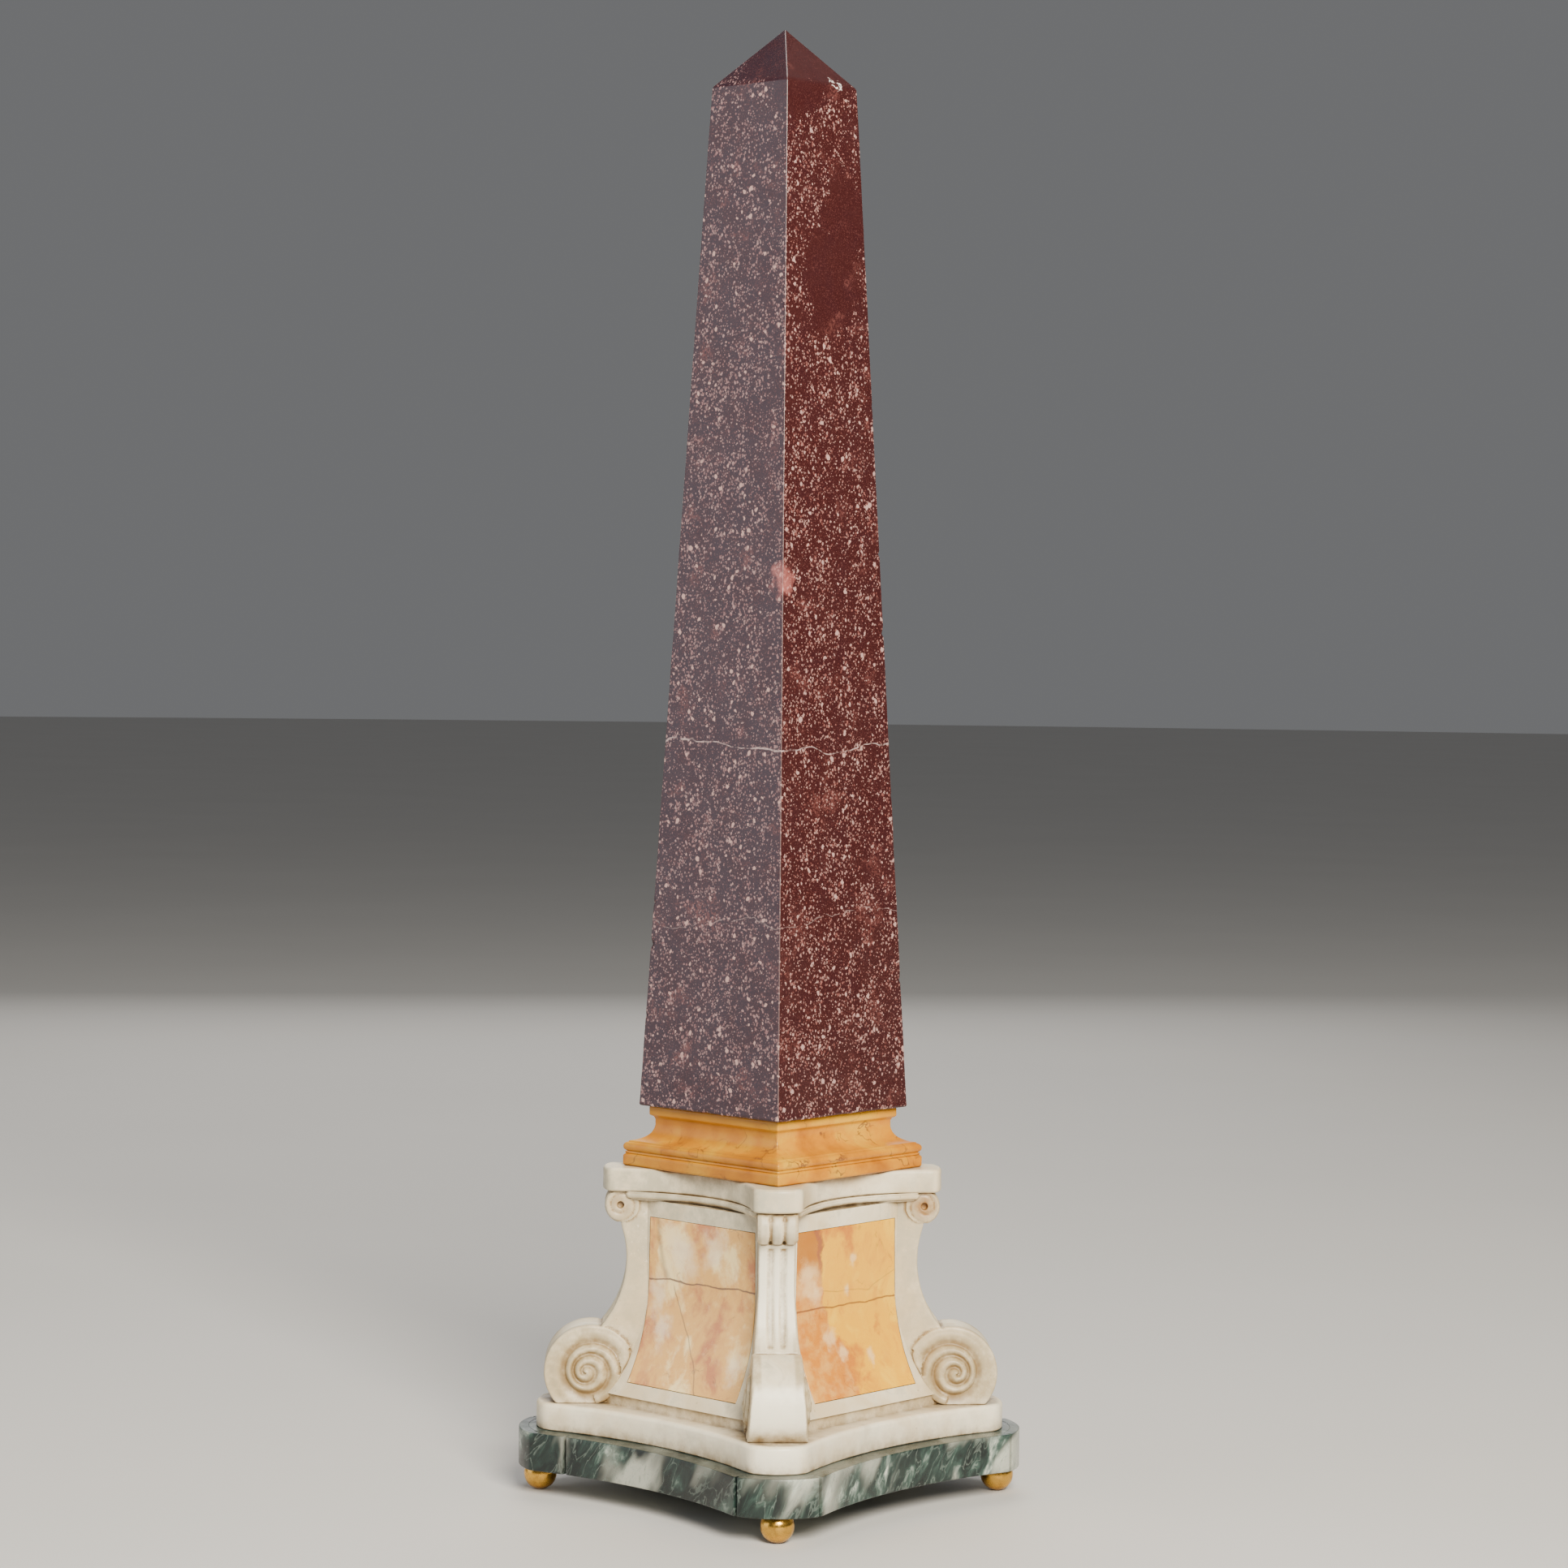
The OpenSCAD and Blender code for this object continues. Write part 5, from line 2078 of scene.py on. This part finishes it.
class Growth:
    """A Geometry Nodes tree, with named inputs."""

    def __init__(self, name: str, inputs: Sequence[tuple[str, str, Optional[float]]]) -> None:
        """Starts a tree.

        Args:
            name: The tree's name.
            inputs: Name, socket type and default value of each input.
        """
        self.tree = bpy.data.node_groups.new(name, "GeometryNodeTree")
        face = self.tree.interface
        face.new_socket("Geometry", in_out="INPUT", socket_type="NodeSocketGeometry")
        for label, kind, start in inputs:
            item = face.new_socket(label, in_out="INPUT", socket_type=kind)
            if start is not None:
                item.default_value = start
        face.new_socket("Geometry", in_out="OUTPUT", socket_type="NodeSocketGeometry")
        self.start = self.tree.nodes.new("NodeGroupInput")
        self.end = self.tree.nodes.new("NodeGroupOutput")

    def put(self, target: Socket, value: object) -> None:
        """Links a socket to another one, or sets it to a constant.

        Args:
            target: The input.
            value: The socket or constant that it takes.
        """
        if isinstance(value, bpy.types.NodeSocket):
            self.tree.links.new(value, target)
        else:
            target.default_value = value

    def node(self, kind: str, **inputs: object) -> bpy.types.Node:
        """Adds a node.

        Args:
            kind: The node's type.
            inputs: Sockets to link or values to set, by input name with _ for a space.

        Returns:
            The node.
        """
        made = self.tree.nodes.new(kind)
        for key, value in inputs.items():
            self.put(made.inputs[key.replace("_", " ")], value)
        return made

    def sum(self, kind: str, a: object, b: object) -> Socket:
        """Does one step of arithmetic.

        Args:
            kind: The step, such as ADD.
            a: First number.
            b: Second number.

        Returns:
            The result.
        """
        made = self.tree.nodes.new("ShaderNodeMath")
        made.operation = kind
        for target, value in zip(made.inputs, (a, b)):
            self.put(target, value)
        return made.outputs[0]

    def finish(self, geometry: Socket) -> bpy.types.NodeTree:
        """Makes instances real, sets the finish, and ends the tree.

        Args:
            geometry: What the tree has made.

        Returns:
            The tree.
        """
        real = self.node("GeometryNodeRealizeInstances", Geometry=geometry).outputs[0]
        dressed = self.node("GeometryNodeSetMaterial", Geometry=real, Material=self.start.outputs["Finish"])
        self.tree.links.new(dressed.outputs[0], self.end.inputs[0])
        return self.tree


def corner_tree() -> bpy.types.NodeTree:
    """Makes a tree that sets its object's mesh on a corner, turned about the axis.

    Returns:
        The tree.
    """
    g = Growth("set_on_corner", [("Turn", "NodeSocketFloat", 0.0), ("Finish", "NodeSocketMaterial", None)])
    place = g.node("GeometryNodePoints", Count=1)
    turn = g.node("ShaderNodeCombineXYZ", Z=g.start.outputs["Turn"])
    copies = g.node(
        "GeometryNodeInstanceOnPoints", Points=place.outputs[0], Instance=g.start.outputs["Geometry"],
        Rotation=turn.outputs[0],
    )
    return g.finish(copies.outputs[0])


def feet_tree() -> bpy.types.NodeTree:
    """Makes a tree that turns a gilt ball with a bead over it, and repeats it at four corners.

    Returns:
        The tree.
    """
    g = Growth("turned_feet", [
        ("Radius", "NodeSocketFloat", 0.007),
        ("Lift", "NodeSocketFloat", 0.0001),
        ("Height", "NodeSocketFloat", 0.0115),
        ("Bead", "NodeSocketFloat", 0.0005),
        ("Bead Reach", "NodeSocketFloat", 0.005),
        ("Spacing", "NodeSocketFloat", 0.138),
        ("Finish", "NodeSocketMaterial", None),
    ])
    size = g.start.outputs
    ball = g.node("GeometryNodeMeshUVSphere", Segments=72, Rings=48, Radius=size["Radius"])
    middle = g.node("ShaderNodeCombineXYZ", Z=g.sum("SUBTRACT", size["Radius"], size["Lift"]))
    raised = g.node("GeometryNodeTransform", Geometry=ball.outputs[0], Translation=middle.outputs[0])
    where = g.node("ShaderNodeSeparateXYZ", Vector=g.node("GeometryNodeInputPosition").outputs[0])
    level = g.sum("MINIMUM", g.sum("MAXIMUM", where.outputs["Z"], 0.0), size["Height"])
    cut = g.node("ShaderNodeCombineXYZ", X=where.outputs["X"], Y=where.outputs["Y"], Z=level)
    seated = g.node("GeometryNodeSetPosition", Geometry=raised.outputs[0], Position=cut.outputs[0])
    ring = g.node("GeometryNodeCurvePrimitiveCircle", Resolution=64, Radius=size["Bead Reach"])
    round_bead = g.node("GeometryNodeCurvePrimitiveCircle", Resolution=16, Radius=size["Bead"])
    bead = g.node("GeometryNodeCurveToMesh", Curve=ring.outputs[0], Profile_Curve=round_bead.outputs[0])
    bead_z = g.node("ShaderNodeCombineXYZ", Z=g.sum("SUBTRACT", size["Height"], size["Bead"]))
    placed = g.node("GeometryNodeTransform", Geometry=bead.outputs[0], Translation=bead_z.outputs[0])
    both = g.node("GeometryNodeJoinGeometry")
    for part in (placed, seated):
        g.tree.links.new(part.outputs[0], both.inputs[0])
    smooth_all = g.node("GeometryNodeSetShadeSmooth", Geometry=both.outputs[0])
    wide = size["Spacing"]
    spots = g.node("GeometryNodeMeshGrid", Size_X=wide, Size_Y=wide, Vertices_X=2, Vertices_Y=2)
    copies = g.node("GeometryNodeInstanceOnPoints", Points=spots.outputs[0], Instance=smooth_all.outputs[0])
    return g.finish(copies.outputs[0])


def grown(piece: bpy.types.Object, tree: bpy.types.NodeTree, values: dict[str, object]) -> None:
    """Runs a tree on a piece and keeps the result as its plain mesh.

    Args:
        piece: The object that the tree works on.
        tree: The tree.
        values: What to set on the tree's inputs, by their names.
    """
    modifier = piece.modifiers.new("growth", "NODES")
    modifier.node_group = tree
    for item in tree.interface.items_tree:
        if item.item_type == "SOCKET" and item.in_out == "INPUT" and item.name in values:
            modifier[item.identifier] = values[item.name]
    graph = bpy.context.evaluated_depsgraph_get()
    built = piece.evaluated_get(graph)
    mesh = bpy.data.meshes.new_from_object(built, preserve_all_data_layers=True, depsgraph=graph)
    piece.modifiers.remove(modifier)
    old = piece.data
    piece.data = mesh
    bpy.data.meshes.remove(old)


def ball_feet(material: bpy.types.Material) -> None:
    """Builds the four ball feet from the box of one of their solids.

    Args:
        material: Their finish.
    """
    low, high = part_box("foot_front_right")
    radius = (high.x - low.x) / 2
    flat = 1.3 * MM
    piece = added("ball_feet", bpy.data.meshes.new("ball_feet"))
    grown(piece, feet_tree(), {
        "Radius": radius,
        "Lift": radius - math.sqrt(radius**2 - flat**2),
        "Height": high.z,
        "Bead": 0.7 * MM,
        "Bead Reach": radius * 0.62,
        "Spacing": low.x + high.x,
        "Finish": material,
    })
    fit(piece, [f"foot_{corner.name.lower()}" for corner in Corner])


# ---------------------------------------------------------------- studio


@dataclass(frozen=True)
class Lamp:
    """A soft rectangular light, aimed at the object. Places and sizes are in metres."""

    name: str
    place: Colour
    width: float
    height: float
    watts: float
    tint: Colour = (1.0, 1.0, 1.0)
    aim: Colour = (0.0, 0.0, 0.28)

    def build(self) -> None:
        """Adds the light."""
        data = bpy.data.lights.new(self.name, "AREA")
        data.shape = "RECTANGLE"
        data.size, data.size_y = self.width, self.height
        data.energy = self.watts
        data.color = self.tint
        lamp = added(self.name, data)
        lamp.location = self.place
        aim = np.array(self.aim) - np.array(self.place)
        lamp.rotation_euler = Vector(aim).to_track_quat("-Z", "Y").to_euler()


@dataclass(frozen=True)
class Viewpoint:
    """The camera, by its bearing, distance and height, and how it is turned from level.

    Angles are in degrees, the lens in millimetres, and the rest in metres.
    """

    bearing: float = 42.92
    distance: float = 1.6392
    height: float = 0.3659
    pitch: float = -2.241
    roll: float = 0.646
    yaw: float = 0.107
    lens: float = 88.7
    sensor: float = 36.0

    @staticmethod
    def swung(a: np.ndarray, b: np.ndarray, angle: float) -> tuple[np.ndarray, np.ndarray]:
        """Turns two directions in the plane that they span.

        Args:
            a: First direction.
            b: Second direction, square to the first.
            angle: Turn from the first towards the second, in radians.

        Returns:
            Both turned directions.
        """
        c, s = math.cos(angle), math.sin(angle)
        return a * c + b * s, b * c - a * s

    def build(self) -> None:
        """Adds the camera and makes it the scene's."""
        a, pitch, roll, yaw = (math.radians(v) for v in (self.bearing, self.pitch, self.roll, self.yaw))
        up = np.array([0.0, 0.0, 1.0])
        right = np.array([math.cos(a), math.sin(a), 0.0])
        ahead = np.array([-math.sin(a), math.cos(a), 0.0])
        ahead, right = self.swung(ahead, right, yaw)
        ahead, up = self.swung(ahead, up, pitch)
        right, up = self.swung(right, up, roll)
        data = bpy.data.cameras.new("camera")
        data.lens = self.lens
        data.sensor_width = self.sensor
        data.clip_start, data.clip_end = 0.05, 100.0
        camera = added("camera", data)
        turn = np.eye(4)
        turn[:3, 0], turn[:3, 1], turn[:3, 2] = right, up, -ahead
        turn[:3, 3] = (math.sin(a) * self.distance, -math.cos(a) * self.distance, self.height)
        camera.matrix_world = Matrix(turn.tolist())
        bpy.context.scene.camera = camera


@dataclass
class Studio:
    """A plain pale floor and soft light."""

    lamps: tuple[Lamp, ...] = (
        Lamp("key", (1.42, -0.86, 1.15), 0.8, 0.8, 98, (1.0, 0.945, 0.83)),
        Lamp("left", (-1.2, -1.5, 0.75), 1.5, 1.8, 13, (0.93, 0.95, 1.0)),
        Lamp("top", (-0.45, 0.5, 1.9), 0.9, 0.9, 13, (1.0, 0.98, 0.95)),
        Lamp("back", (-1.5, 1.3, 0.9), 1.6, 1.2, 9, (1.0, 0.98, 0.96)),
    )
    sky: Colour = (0.72, 0.73, 0.75)
    sky_strength: float = 0.22
    floor_reach: float = 14.0
    floor_points: int = 96

    def build(self) -> None:
        """Adds the lights, the sky and the floor."""
        for lamp in self.lamps:
            lamp.build()
        world = bpy.data.worlds.new("sky")
        bpy.context.scene.world = world
        world.use_nodes = True
        ground = world.node_tree.nodes["Background"]
        ground.inputs["Color"].default_value = (*self.sky, 1.0)
        ground.inputs["Strength"].default_value = self.sky_strength
        a = np.linspace(0, 2 * math.pi, self.floor_points, endpoint=False)
        rim = np.stack([np.cos(a), np.sin(a), 0 * a], axis=-1) * self.floor_reach
        mesh = bpy.data.meshes.new("floor")
        mesh.from_pydata(rim.tolist(), [], [tuple(range(self.floor_points))])
        mesh.materials.append(PaleFloor().material())
        floor = added("floor", mesh)


def main() -> None:
    """Builds every piece in order, from the top down, and the studio round them."""
    logging.basicConfig(level=logging.INFO, format="%(name)s: %(message)s")
    Viewpoint().build()
    white = WhiteMarble().material()
    peach, yellow = PEACH.material(), YELLOW.material()
    Shaft().build(Porphyry().material())
    Socle().build(GoldenMarble().material())
    cap_plan = HollowPlan(39.5, 72.31, 21.0, 2.6, 1.7)
    Course("cap_slab_cut", ("cap_slab",), cap_plan, 1.1, 1.5).build(white, "white_marble")
    bed_moulding(white)
    body = Body()
    body.build_body(white)
    for side in Side:
        first = side in (Side.FRONT, Side.BACK)
        name = f"inlay_{side.name.lower()}"
        body.build_panel(side, name, peach if first else yellow, "peach_marble" if first else "yellow_marble")
    Console(body).build(white)
    base_plan = HollowPlan(66.5, 99.71, 23.4, 3.2, 2.2)
    Course("base_slab_cut", ("base_slab",), base_plan, 0.7, 1.8).build(white, "white_marble")
    Plinth().build(GreenMarble().material())
    ball_feet(GiltBronze().material())
    Studio().build()


if __name__ == "__main__":
    main()
